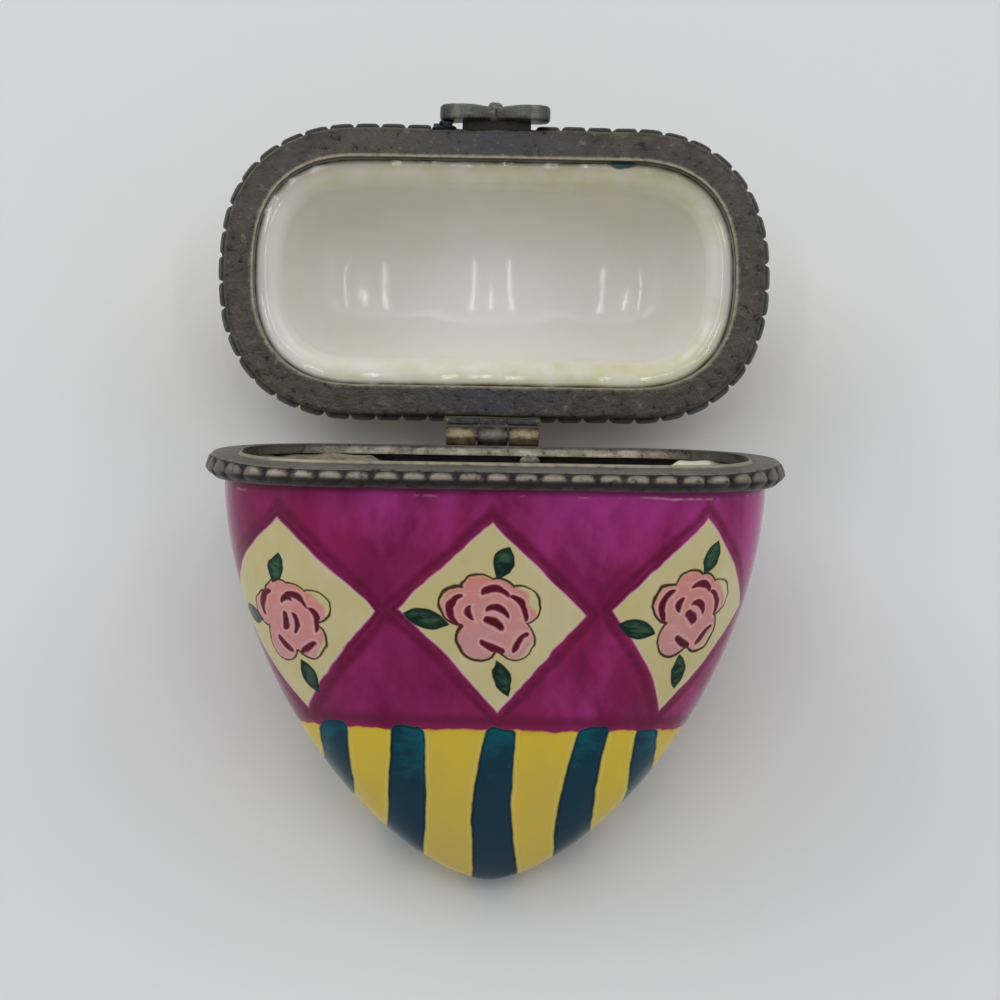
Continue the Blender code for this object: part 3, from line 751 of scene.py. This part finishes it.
def beaded_band(side, slope, gaps, seed, bead, bead_wear_and_light, ridge, wall_shade=0.0, back_shade_and_sheen=0.0):
    """The rim's section carried round the oval, its outer wall pushed out by each bead.

    A bead stands out by the cube root of 1 - |a|^n - b^2, a and b its shares along and down, and
    less away from its crest; bead is its half length, as a share of the pitch, and n. There are no
    beads behind the clasp and the hinge (gaps, half widths). Along the front the face falls towards
    its outer edge by the slope, in mm. The ridge along its inner edge is worn bright and carries a
    painted highlight. The marks also paint light into the colour: the beads' upper halves lighter,
    most at the front, a pale sheen on the inner wall along the back, and shade below the beads'
    crests, under the flange, along the back's inner edge and, where asked, over the beaded wall.
    """
    section = rim_section(ridge)
    stations = np.arange(BEADS * STATIONS_PER_BEAD) / (BEADS * STATIONS_PER_BEAD)
    number = stations * BEADS
    nearest_bead = np.round(number).astype(int) % BEADS
    luck = np.random.default_rng(seed)
    size = 1 + 0.10 * (luck.random(BEADS) - 0.5)
    shift = 0.06 * (luck.random(BEADS) - 0.5)
    middle = oval(stations, np.zeros(len(stations)))
    clear = np.abs(middle[:, 0]) > np.where(middle[:, 1] < 0, gaps[0], gaps[1])
    a = np.abs(number - np.round(number) + shift[nearest_bead]) / (bead[0] * size[nearest_bead])
    offsets, levels = section[:, 0][:, None], section[:, 1][:, None]
    on_wall = np.clip((offsets + 0.45) / 0.3, 0, 1) * (levels < RIM_FOOT - 0.05)
    above_bead = np.clip((BEAD_LEVEL - levels) / (BEAD_LEVEL - FACE_OUTER), 0, 1)
    at_front = np.clip((-middle[:, 1] - 5) / 7, 0, 1)
    sloped = levels + slope * at_front * (offsets / BAND_WIDTH + 1) * above_bead
    up = (BEAD_LEVEL - sloped) / (BEAD_ABOVE + BEAD_TALLER_AT_ENDS * (1 - at_front))
    b = np.where(sloped < BEAD_LEVEL, up, (sloped - BEAD_LEVEL) / BEAD_BELOW)
    bulge = np.clip(1 - a[None, :] ** bead[1] - b**2, 0, None) * clear
    proud = BEAD_PROUD * size[nearest_bead] * np.cbrt(bulge) * (1 - 0.45 * np.clip(b, 0, 1))
    ripple = 0.02 * waves_round(stations, 9) + 0.012 * waves_round(stations, 23)
    out = offsets + (proud + ripple) * on_wall
    plan = oval(np.broadcast_to(stations, out.shape), out)
    rings = np.concatenate([plan, side * sloped[..., None]], axis=-1)
    back = np.clip(middle[:, 1] / 4, 0, 1) * back_shade_and_sheen
    outer_edge = np.exp(-((offsets / 0.22) ** 2) - ((levels - FACE_OUTER) / 0.22) ** 2)
    beyond_ridge = (offsets + BAND_WIDTH - 0.12 - ridge * 0.4) / 0.2
    inner_edge = np.exp(-(beyond_ridge**2) - ((levels - FACE_INNER) / (0.08 + ridge)) ** 2)
    inner_wall = (offsets < -BAND_WIDTH + 0.02) * np.clip((levels - FACE_INNER - 0.15) / 0.15, 0, 1)
    # Painted highlight: the beads are marked lighter above their crests, where light falls on them, most at
    # the front, and the inner edge at the front is marked lighter too; both sit on real wear.
    crest = np.clip(bulge * 1.4, 0, 1) * np.clip((BEAD_LEVEL + 0.05 - levels) / 0.45, 0, 1) * on_wall
    crest_wear_and_light = bead_wear_and_light * (0.1 + 0.9 * at_front)
    streaked = 0.8 + 0.35 * waves_round(stations, 31) * waves_round(stations, 12)
    # Painted sheen: the inner wall along the back is marked pale silver in streaks, for the light it catches.
    back_wall_sheen = inner_wall * back * streaked * np.clip((18.5 - np.abs(middle[:, 0])) / 6, 0, 1)
    worn_and_sheen = (0.65 + 0.25 * side) * outer_edge + inner_edge * (1 - back) + back_wall_sheen + crest_wear_and_light * crest
    # Darkened in the pits between beads; painted shade below the beads' crests, under the flange, along the
    # back's inner edge and, where asked, over the whole beaded wall.
    pit = on_wall * np.exp(-((bulge / 0.10) ** 2)) * (levels > FACE_OUTER + 0.1) * clear
    under = on_wall * np.clip((levels - BEAD_LEVEL) / 0.12, 0, 1)
    behind = (levels > FLANGE_LEVEL - 0.1) * (offsets < -SKIRT + 0.1)
    grime_and_shade = np.maximum.reduce(np.broadcast_arrays(pit, under, behind, inner_edge * back, wall_shade * on_wall))
    marks = {"wear_and_sheen": np.clip(worn_and_sheen, 0, 1), "grime_and_shade": np.clip(grime_and_shade, 0, 1), "back_wall_sheen": np.clip(back_wall_sheen, 0, 1)}
    return closed_skin(rings, marks=marks)


BRASS_FILM = (0.090, 0.086, 0.066)
BRASS_BLUED = (0.060, 0.064, 0.080)
BRASS_SPECK = (0.22, 0.205, 0.185)
BRASS_PIT = (0.014, 0.013, 0.014)
SHEEN_SILVER = (0.72, 0.68, 0.60)
GRIME_AND_SHADE = (0.012, 0.011, 0.011)


def antique(name, turn, dark, tint, bright, roughness, blue=0.0):
    """Darkened brass: mottled, pitted, bluish near the hinge and clasp, worn bright on its edges, with
    painted highlights, painted sheen and painted shade laid in where the piece's marks call for them.
    """
    metal = Finish(name, turn, Metallic=0.8)
    mottle = metal.noise(0.55, detail=3.0, roughness=0.65)
    grit = metal.noise(1.25, detail=4.0, roughness=0.66, shift=3)
    colour = metal.mix(dark, tint, (mottle - 0.4) * 3.0)
    colour = metal.mix(colour, BRASS_FILM, (metal.noise(0.12, detail=2.0, shift=6) - 0.45) * 3.0)
    if blue:
        from_fitting = abs(metal.split(metal.millimetres)[0]) * -0.095 + 1.0 + (mottle - 0.5) * 1.5
        colour = metal.mix(colour, BRASS_BLUED, from_fitting.share(blue))
    colour = metal.mix(colour, BRASS_SPECK, ((grit - 0.575) * 5.0).share(0.55))
    colour = metal.mix(colour, BRASS_PIT, ((0.435 - grit) * 8.0).share(0.9))
    # Worn brass, together with painted highlights, where the piece's marks call for it.
    worn_and_sheen = (metal.mark("wear_and_sheen") * 1.1 + (grit - 0.62) * 1.6).share(0.8)
    colour = metal.mix(colour, bright, worn_and_sheen)
    # Pale silver as a painted sheen, then near black as grime and painted shade, where the piece's marks call
    # for them.
    colour = metal.mix(colour, SHEEN_SILVER, metal.mark("back_wall_sheen") * (grit * 2.4 - 0.4).share())
    colour = metal.mix(colour, GRIME_AND_SHADE, metal.mark("grime_and_shade") * 0.85)
    metal.feed("Base Color", colour)
    metal.feed("Roughness", (grit - 0.5) * 0.5 + roughness)
    metal.relief(mottle * 0.5 + grit, 0.10)
    return metal.material


def lump(centre, half_sizes, seed, wear_and_sheen=0.0):
    """A rough drop of solder or paint: an ellipsoid swollen by waves that differ with the seed."""
    turn = np.linspace(0, 2 * np.pi, 25)[:-1][None, :]
    rise = np.linspace(-np.pi / 2, np.pi / 2, 15)[1:-1][:, None]
    swell = 1 + np.cos(rise) * (0.12 * np.sin(3 * turn + seed) + 0.1 * np.sin(2 * rise + 5 * turn + seed))
    unit = np.stack([np.cos(turn) * np.cos(rise), np.sin(turn) * np.cos(rise), np.sin(rise) + 0 * turn], -1)
    poles = [np.array(centre) + np.array((0, 0, s * half_sizes[2])) for s in (-1, 1)]
    rings = np.array(centre) + unit * swell[..., None] * np.array(half_sizes)
    return closed_skin(rings, poles=poles, marks={"wear_and_sheen": wear_and_sheen})


# The face of the body's band is lower along its outer edge at the front, where it was filed.
body_band = beaded_band(
    side=-1, slope=0.45, gaps=(-1.0, HINGE_HALF_WIDTH + 0.1), seed=3,
    bead=(0.44, 2.6), bead_wear_and_light=0.8, ridge=0.24, back_shade_and_sheen=0.8,
)
body_rim = piece_of("beaded_body_rim", [body_band], BODY_TURN)
BRASS_DARK = (0.132, 0.118, 0.108)
BRASS_TINT = (0.205, 0.178, 0.160)
BRASS_WORN_AND_LIT = (0.38, 0.34, 0.25)
body_brass = antique("antique_brass_of_body_rim", BODY_TURN, BRASS_DARK, BRASS_TINT, BRASS_WORN_AND_LIT, 0.42)
hand_over(body_rim, body_brass, "box", "body_rim")

# A drop of the hinge's solder hangs in the back of the mouth.
solder_drop = lump((3.2, 10.4, -1.4), (0.85, 0.45, 0.6), 2, wear_and_sheen=0.3)
solder = piece_of("solder_lump_in_body_rim", [solder_drop], BODY_TURN)
hand_over(solder, body_brass, "box", None)

# ---------------------------------------------------------------- hinge
# A small brass butt hinge at the back: a leaf soldered to each rim, two knuckles on the body's
# leaf and one on the lid's, and a pin through all three. The outer knuckles are worn yellow.
KNUCKLE_RADIUS = 0.9
KNUCKLE_LENGTH = 2.7
KNUCKLE_GAP = 0.15
BORE_RADIUS = 0.48
PIN_RADIUS = 0.38
PIN_Y, PIN_Z = PIN_SHUT[1:]
LEAF_FRONT = BAND_HALF_DEPTH + 0.2
LEAF_BACK = LEAF_FRONT + 0.55
LEAF_NEAR = 0.28
LEAF_FAR = 2.1
NECK_FAR = 1.25


def knuckle(centre_x, length, radius, bore, soft):
    """A tube about the pin's line: its rounded section, in x and radius, turned full circle."""
    half = length / 2
    corners = [(-half, bore), (-half, radius), (half, radius), (half, bore)]
    section = rounded(corners, (0.02, soft, soft, 0.02), 0.3)
    turn = np.linspace(0, 2 * np.pi, 41)[:-1][:, None]
    x = centre_x + section[:, 0] + 0 * turn
    worn_and_sheen = np.clip(1.3 - np.abs(section[:, 0]) / half, 0, 1) * (section[:, 1] > radius - 0.05)
    rings = np.stack([x, PIN_Y + section[:, 1] * np.cos(turn), PIN_Z + section[:, 1] * np.sin(turn)], -1)
    return closed_skin(rings, marks={"wear_and_sheen": 0.6 * worn_and_sheen[None, :] + 0 * turn})


def plate(section, low_x, high_x, soft, grooves=()):
    """A leaf: its outline in y and z carried along x, drawn in at both ends and at each groove."""
    stations = np.r_[low_x + soft * (1 - np.cos(np.linspace(0, np.pi / 2, 5)))]
    stations = np.r_[stations, np.linspace(low_x + soft, high_x - soft, 60)[1:-1]]
    stations = np.r_[stations, high_x - soft * (1 - np.sin(np.linspace(0, np.pi / 2, 5)))]
    ends = np.minimum(stations - low_x, high_x - stations).clip(0, soft)
    drawn_in = soft - np.sqrt(np.clip(soft**2 - (soft - ends) ** 2, 0, None))
    for groove in grooves:
        drawn_in = np.maximum(drawn_in, 0.16 * np.exp(-(((stations - groove) / 0.12) ** 2)))
    centre = section.mean(axis=0)
    arms = section - centre
    reach = np.linalg.norm(arms, axis=1)[None, :, None]
    outline = centre + arms * (1 - drawn_in[:, None, None] / reach)
    rings = np.concatenate([np.broadcast_to(stations[:, None, None], outline.shape[:2] + (1,)), outline], -1)
    edge = np.exp(-(((stations - low_x) / 0.25) ** 2)) + np.exp(-(((high_x - stations) / 0.25) ** 2))
    return closed_skin(rings, caps=True, marks={"wear_and_sheen": edge[:, None] * 0.6 + 0 * section[:, 0]})


def leaf_section(side):
    """A hinge leaf cut across: a flat plate between two levels."""
    near, far = side * LEAF_NEAR, side * LEAF_FAR
    corners = [(LEAF_FRONT, near), (LEAF_BACK, near), (LEAF_BACK, far), (LEAF_FRONT, far)]
    return rounded(corners, (0.12, 0.12, 0.18, 0.18), 0.25)


def neck_section(side, near):
    """The tongue between a leaf and its knuckle, tapered towards the pin."""
    corners = [
        (LEAF_BACK - 0.2, side * near),
        (PIN_Y - 0.3, side * near),
        (PIN_Y + 0.35, side * (near + 0.25)),
        (LEAF_BACK - 0.2, side * NECK_FAR),
    ]
    return rounded(corners, (0.05, 0.1, 0.1, 0.2), 0.25)


outer_knuckle = KNUCKLE_LENGTH + KNUCKLE_GAP
neck_half = KNUCKLE_LENGTH / 2 - 0.03
body_leaf_skins = [plate(leaf_section(-1), -HINGE_HALF_WIDTH, HINGE_HALF_WIDTH, 0.12)]
for x in (-outer_knuckle, outer_knuckle):
    body_leaf_skins.append(knuckle(x, KNUCKLE_LENGTH, KNUCKLE_RADIUS, BORE_RADIUS, 0.12))
    body_leaf_skins.append(plate(neck_section(-1, LEAF_NEAR), x - neck_half, x + neck_half, 0.08))
body_leaf = piece_of("hinge_leaf_on_body", body_leaf_skins, BODY_TURN)
KNUCKLE_DARK = (0.13, 0.105, 0.07)
KNUCKLE_TINT = (0.22, 0.18, 0.11)
KNUCKLE_WORN = (0.52, 0.44, 0.27)
body_knuckle_brass = antique(
    "worn_brass_of_knuckles", BODY_TURN, KNUCKLE_DARK, KNUCKLE_TINT, KNUCKLE_WORN, 0.38
)
hand_over(body_leaf, body_knuckle_brass, "box", "body_hinge_leaf")

pin = piece_of("hinge_pin_rod", [knuckle(0.0, 2 * HINGE_HALF_WIDTH, PIN_RADIUS, 0.03, 0.1)], BODY_TURN)
hand_over(pin, body_knuckle_brass, "box", "hinge_pin")

lid_leaf_skins = [
    plate(leaf_section(1), -HINGE_HALF_WIDTH, HINGE_HALF_WIDTH, 0.12, grooves=(-1.45, 1.45)),
    knuckle(0.0, KNUCKLE_LENGTH, KNUCKLE_RADIUS, BORE_RADIUS, 0.12),
    plate(neck_section(1, LEAF_NEAR + 0.04), -neck_half, neck_half, 0.08),
]
lid_leaf = piece_of("hinge_leaf_on_lid", lid_leaf_skins, LID_TURN)
lid_leaf_brass = antique(
    "dark_brass_of_lid_leaf", LID_TURN, (0.05, 0.05, 0.052), (0.085, 0.08, 0.078), (0.30, 0.27, 0.22), 0.4
)
hand_over(lid_leaf, lid_leaf_brass, "lid", "lid_hinge_leaf")

# ---------------------------------------------------------------- porcelain lid
# The two lobes at the top of the heart, slip-cast in one with a soft crease between them, hollow
# underneath. The inside is bare cream glaze, pooled thick and yellowish along the lip.
LID_RISE = 12.7
LOBE_DIP = 0.34
LOBE_SPAN = 12.5
CREASE = 1.6
DOME_ROUNDNESS = 2.6
LID_LIP = 4.2
LID_LIP_SOFT = 2.0
LID_LIP_LAST = 1.28
HOLLOW_RISE = 8.0
HOLLOW_RIDGE = 0.32
LOBE_MIDDLE = 11.6


def dome_ring(share_out):
    """A ring of the lid's outside, this share of the way out from its middle.

    The height is the crest's, lower in the crease, times (1 - s^n)^(1/n).
    """
    plan = oval(shares, np.full(AROUND, -SKIRT_INSET)) * share_out
    from_crease = np.hypot(plan[:, 0], CREASE) - CREASE
    dip = LOBE_DIP * np.clip(1 - from_crease / LOBE_SPAN, 0, None) ** 2
    fall = (1 - share_out**DOME_ROUNDNESS) ** (1 / DOME_ROUNDNESS)
    return np.column_stack([plan, LIP_LEVEL + LIP_SOFT + LID_RISE * (1 - dip) * fall])


def hollow_ring(share_out):
    """A ring of the lid's hollow: a trough between the lobes' middles, with a soft ridge across it.

    q is the share of the way from the trough's line to the wall; the depth is 1 - q^n, n chosen
    so that the wall starts as steep as the lip's rounding ends, times a wave of cos(pi x / lobe).
    """
    inset = LID_LIP - LID_LIP_SOFT * (1 - math.sin(LID_LIP_LAST))
    edge = oval(shares, np.full(AROUND, -(SKIRT_INSET + inset)))
    half_depth = edge[:, 1].max()
    half_end = edge[:, 0].max() - LOBE_MIDDLE

    def from_trough(plan):
        beyond = np.clip(np.abs(plan[:, 0]) - LOBE_MIDDLE, 0, None) / half_end
        beside = np.abs(plan[:, 1]) / half_depth
        return (beyond**END_SQUARENESS + beside**END_SQUARENESS) ** (1 / END_SQUARENESS)

    plan = edge * share_out
    q = from_trough(plan) / from_trough(edge)
    power = math.tan(LID_LIP_LAST) * half_depth / HOLLOW_RISE * 1.05
    ridge = HOLLOW_RIDGE * 0.5 * (1 + np.cos(np.pi * np.clip(np.abs(plan[:, 0]) / LOBE_MIDDLE, 0, 1)))
    height = HOLLOW_RISE * (1 - ridge) * (1 - q**power)
    return np.column_stack([plan, LIP_LEVEL + LID_LIP_SOFT * (1 - math.cos(LID_LIP_LAST)) + height])


lid_wave = 0.10 * waves_round(shares, 3, 0.6) + 0.08 * waves_round(shares, 7, 0.2)
lid_wave += 0.05 * waves_round(shares, 13, 0.7) + 0.015 * waves_round(shares, 23, 0.5)
dome_out = np.sin(np.linspace(0.02, 1, 80) * np.pi / 2) ** 0.8
dome_out = np.append(dome_out[dome_out < 0.9985], 0.9995)
dome_in = np.linspace(0.985, 0.012, 76)
lid_rings = [dome_ring(s) for s in dome_out]
lid_lip_rings = lip_rings(1, LID_LIP, LIP_SOFT, LID_LIP_SOFT, lid_wave, LID_LIP_LAST)
lid_rings += lid_lip_rings + [hollow_ring(s) for s in dome_in]
lid_rings = np.array(lid_rings)
ring_number = np.arange(len(lid_rings))[:, None] - len(dome_out)
crown = [lid_rings[k, :, 2].mean() for k in (0, -1)]
metal_edge = (lid_rings[:, :, 1].max(axis=1) - (BAND_HALF_DEPTH - BAND_WIDTH))[:, None]
on_lip = (ring_number > 0) * (ring_number < len(lid_lip_rings))
# Painted shade: a dark line on the lip right beside the metal's inner edge, where the gap under the flange
# lies in shade.
gap_shade_by_metal = np.exp(-(((metal_edge + 0.15) / 0.2) ** 2)) * on_lip
lid_skin = closed_skin(
    lid_rings,
    poles=[(0.0, 0.0, crown[0]), (0.0, 0.0, crown[1])],
    marks={
        "inside": ring_number > 4,
        "lip": np.clip(1 - (ring_number - len(lid_lip_rings) + 6) / 9, 0, 1) * (ring_number > 4),
        "gap_shade_by_metal": gap_shade_by_metal,
    },
)
porcelain_lid = piece_of("porcelain_lid_lobes", [lid_skin], LID_TURN)

lid_glaze = Finish("lid_glaze", LID_TURN, Roughness=0.12, IOR=1.5)
lid_across, lid_deep = lid_glaze.split(lid_glaze.millimetres)[:2]
cloud = lid_glaze.noise(0.14, detail=2.0)
patch = lid_glaze.noise(0.5, detail=2.0, shift=3)
wobble = lid_glaze.noise(0.25, detail=1.0, shift=2) - 0.5
lid_stripe = lid_across / 6.2 + wobble * 0.25
lid_stripe = abs(lid_stripe - lid_stripe.op("ROUND")) * 6.2
lid_teal = lid_glaze.mix(BLUE_GREEN, BLUE_GREEN_THIN, (patch - 0.5) * 2.0)
lid_teal = lid_glaze.mix(lid_teal, STRIPE_EDGE, abs(lid_stripe - 1.5).within(0.16, 0.3))
striped = lid_stripe.within(1.65, 0.14) * abs(lid_across).within(21.0, 0.2)
outside = lid_glaze.mix(lid_glaze.mix(YELLOW, OCHRE, patch), lid_teal, striped)
milk = lid_glaze.mix((0.84, 0.81, 0.76), (0.81, 0.775, 0.70), (cloud - 0.35) * 2.0)
# Painted shade: the hollow is painted warmer and darker towards the clasp side, where its wall faces away
# from the light.
milk = lid_glaze.mix(milk, (0.77, 0.70, 0.60), (lid_deep * -0.14 - 0.3 + (cloud - 0.5) * 0.8).share(0.9))
# Painted light: the middle of the hollow is painted paler, where the light gathers in it.
lit_middle = 1.15 - length_of(lid_across * 0.075, (lid_deep - 1.5) * 0.24) + (cloud - 0.5) * 0.8
milk = lid_glaze.mix(milk, (0.90, 0.89, 0.86), lit_middle.share(0.7))
lip = lid_glaze.mark("lip")
pooled = (abs(lid_deep) * 0.11 + lid_across * 0.015 - 0.55 + (patch - 0.5) * 1.8).share()
milk = lid_glaze.mix(milk, (0.68, 0.64, 0.38), pooled * lip)
stain = length_of((lid_across - 11.4) * 0.8, (lid_deep + 10.15) * 2.6) + (patch - 0.5) * 1.5
milk = lid_glaze.mix(milk, BLUE_GREEN_THIN, stain.within(0.95, 0.3) * lip)
# Painted shade in the gap beside the metal.
milk = lid_glaze.mix(milk, (0.05, 0.035, 0.02), (lid_glaze.mark("gap_shade_by_metal") * (patch + 0.6)).share(0.9))
is_inside = lid_glaze.mark("inside").op("GREATER_THAN", 0.5)
lid_glaze.feed("Base Color", lid_glaze.mix(outside, milk, is_inside))
lid_glaze.relief(lid_glaze.noise(0.45, detail=2.0, shift=1), 0.035)
hand_over(porcelain_lid, lid_glaze.material, "lid", "porcelain_lid")

# ---------------------------------------------------------------- beaded rim of the lid
# The same band the other way up, without beads behind the clasp and the hinge. The solder that
# fixes those two has left the metal near them bluish.
CLASP_HALF_WIDTH = 3.1
# The beaded wall of this band is painted in shade, and its beads are only a little lighter on top.
lid_band = beaded_band(
    side=1, slope=0.0, gaps=(CLASP_HALF_WIDTH + 0.3, HINGE_HALF_WIDTH + 0.1), seed=8,
    bead=(0.47, 6.0), bead_wear_and_light=0.1, ridge=0.03, wall_shade=0.6,
)
lid_rim = piece_of("beaded_lid_rim", [lid_band], LID_TURN)
LID_BRASS_DARK = (0.064, 0.056, 0.052)
LID_BRASS_TINT = (0.108, 0.090, 0.081)
lid_brass = antique(
    "antique_brass_of_lid_rim", LID_TURN, LID_BRASS_DARK, LID_BRASS_TINT, BRASS_WORN_AND_LIT, 0.42, blue=0.75
)
hand_over(lid_rim, lid_brass, "lid", "lid_rim")

# ---------------------------------------------------------------- bow clasp
# A cast ribbon bow: two loops and two short tails round a knot, soldered to the front of the
# lid's rim on a short block. It hangs over the body's rim when the box is shut.
BOW_BACK = -(BAND_HALF_DEPTH + 0.75)
BOW_THICKNESS = 1.4
BOW_MIDDLE = np.array((-0.15, 0.6))


def smooth_loop(corners, steps):
    """A closed curve through corners: on each stretch, the Catmull-Rom cubic of its four nearest corners."""
    before, start, end, after = (np.roll(corners, k, axis=0)[:, None, :] for k in (1, 0, -1, -2))
    t = (np.arange(steps) / steps)[None, :, None]
    curve = 2 * start + (end - before) * t + (2 * before - 5 * start + 4 * end - after) * t**2
    curve += (3 * start - before - 3 * end + after) * t**3
    return curve.reshape(-1, 2) / 2


half_bow = np.array(
    [
        (0.0, 0.75), (0.95, 0.95), (2.2, 1.65), (3.6, 1.95), (4.7, 1.45), (5.0, 0.35), (4.8, -0.9),
        (4.1, -1.6), (3.5, -1.7), (2.9, -1.92), (2.2, -2.0), (1.25, -1.6), (0.6, -1.15),
        (0.0, -0.95),
    ]
)
bow_outline = smooth_loop(np.vstack([half_bow, half_bow[-2:0:-1] * (-1, 1)]), 6)
spine = np.stack([bow_outline[:, 0].clip(-3.4, 3.4) * 0.95, 0.1 + 0 * bow_outline[:, 0]], -1)
spine[:, 1] = np.interp(bow_outline[:, 1], (-1.9, -1.5), (-1.2, 0.1))
ease = np.linspace(0, np.pi / 2, 6)
rounding = [(0.14 * (1 - math.sin(a)), 0.32 * (1 - math.cos(a))) for a in ease]
back_rings = [(s, BOW_BACK) for s in np.linspace(0.9, 0.2, 5)] + [(s, BOW_BACK - y) for s, y in rounding]
front_rings = [(s, BOW_BACK - BOW_THICKNESS + y) for s, y in rounding[::-1]]
front_rings += [(s, BOW_BACK - BOW_THICKNESS) for s in np.linspace(0.2, 0.9, 9)]
bow_rings = []
for share_in, y in back_rings + front_rings:
    flat = bow_outline + (spine - bow_outline) * share_in
    thin = np.clip(1 - np.abs(flat[:, 0]) / 4.0, 0, 1) * 0.2
    fold = 0.30 * np.sin(np.pi * np.clip((share_in - 0.25) / 0.65, 0, 1))
    fold = fold * np.clip(np.abs(flat[:, 0]) / 2.0 - 0.4, 0, 1)
    is_front = y < BOW_BACK - BOW_THICKNESS / 2
    depth_y = y + (thin + fold if is_front else -thin)
    bow_rings.append(np.column_stack([flat[:, 0] + BOW_MIDDLE[0], depth_y, flat[:, 1] + BOW_MIDDLE[1]]))
bow_rings = np.array(bow_rings)
# Painted highlights: two bands across the bow 3.5 mm either side of its middle, where the loops' lower edges
# turn up to the light. Its ends are coloured darker.
highlight_bands = 0.35 * np.exp(-(((np.abs(bow_rings[:, :, 0] - BOW_MIDDLE[0]) - 3.5) / 0.4) ** 2))
darker_ends = 0.4 * np.clip((np.abs(bow_rings[:, :, 0] - BOW_MIDDLE[0]) - 3.9) / 0.7, 0, 1)
bow_skin = closed_skin(bow_rings, caps=True, marks={"wear_and_sheen": highlight_bands, "grime_and_shade": darker_ends})
knot = lump((BOW_MIDDLE[0], BOW_BACK - 0.72, BOW_MIDDLE[1] - 0.05), (0.95, 0.98, 1.1), 0, wear_and_sheen=0.3)
BLOCK_FRONT = BOW_BACK - 0.3
BLOCK_BACK = -BAND_HALF_DEPTH + 0.2
block_corners = [(BLOCK_FRONT, 0.25), (BLOCK_BACK, 0.25), (BLOCK_BACK, 1.5), (BLOCK_FRONT, 1.5)]
block_outline = rounded(block_corners, (0.15, 0.1, 0.1, 0.15), 0.3)
block = plate(block_outline, -CLASP_HALF_WIDTH, CLASP_HALF_WIDTH, 0.15)
# The block is coloured nearly black all over.
block["marks"] = {"grime_and_shade": np.ones(len(block["points"]))}
clasp = piece_of("bow_clasp_casting", [bow_skin, knot, block], LID_TURN)
clasp_brass = antique(
    "blackened_brass_of_bow", LID_TURN, (0.115, 0.117, 0.117), (0.17, 0.17, 0.15), (0.42, 0.41, 0.32), 0.45
)
hand_over(clasp, clasp_brass, "lid", "bow_clasp")

# Some of the stripes' blue-green paint has run onto the rim beside the clasp.
daub_drops = [
    lump((-4.5, BOW_BACK + 0.3, 0.35), (0.62, 0.5, 0.62), 4),
    lump((-5.25, BOW_BACK + 0.6, 0.3), (0.6, 0.3, 0.4), 1),
]
daub = piece_of("paint_daub_by_bow", daub_drops, LID_TURN)
daub_paint = Finish("spilled_paint", LID_TURN, Roughness=0.3)
daub_patch = daub_paint.noise(1.8, detail=2.0)
spilled = daub_paint.mix((0.002, 0.006, 0.010), (0.004, 0.028, 0.042), (daub_patch - 0.45) * 3.0)
daub_paint.feed("Base Color", spilled)
daub_paint.relief(daub_patch, 0.1)
hand_over(daub, daub_paint.material, "lid", None)
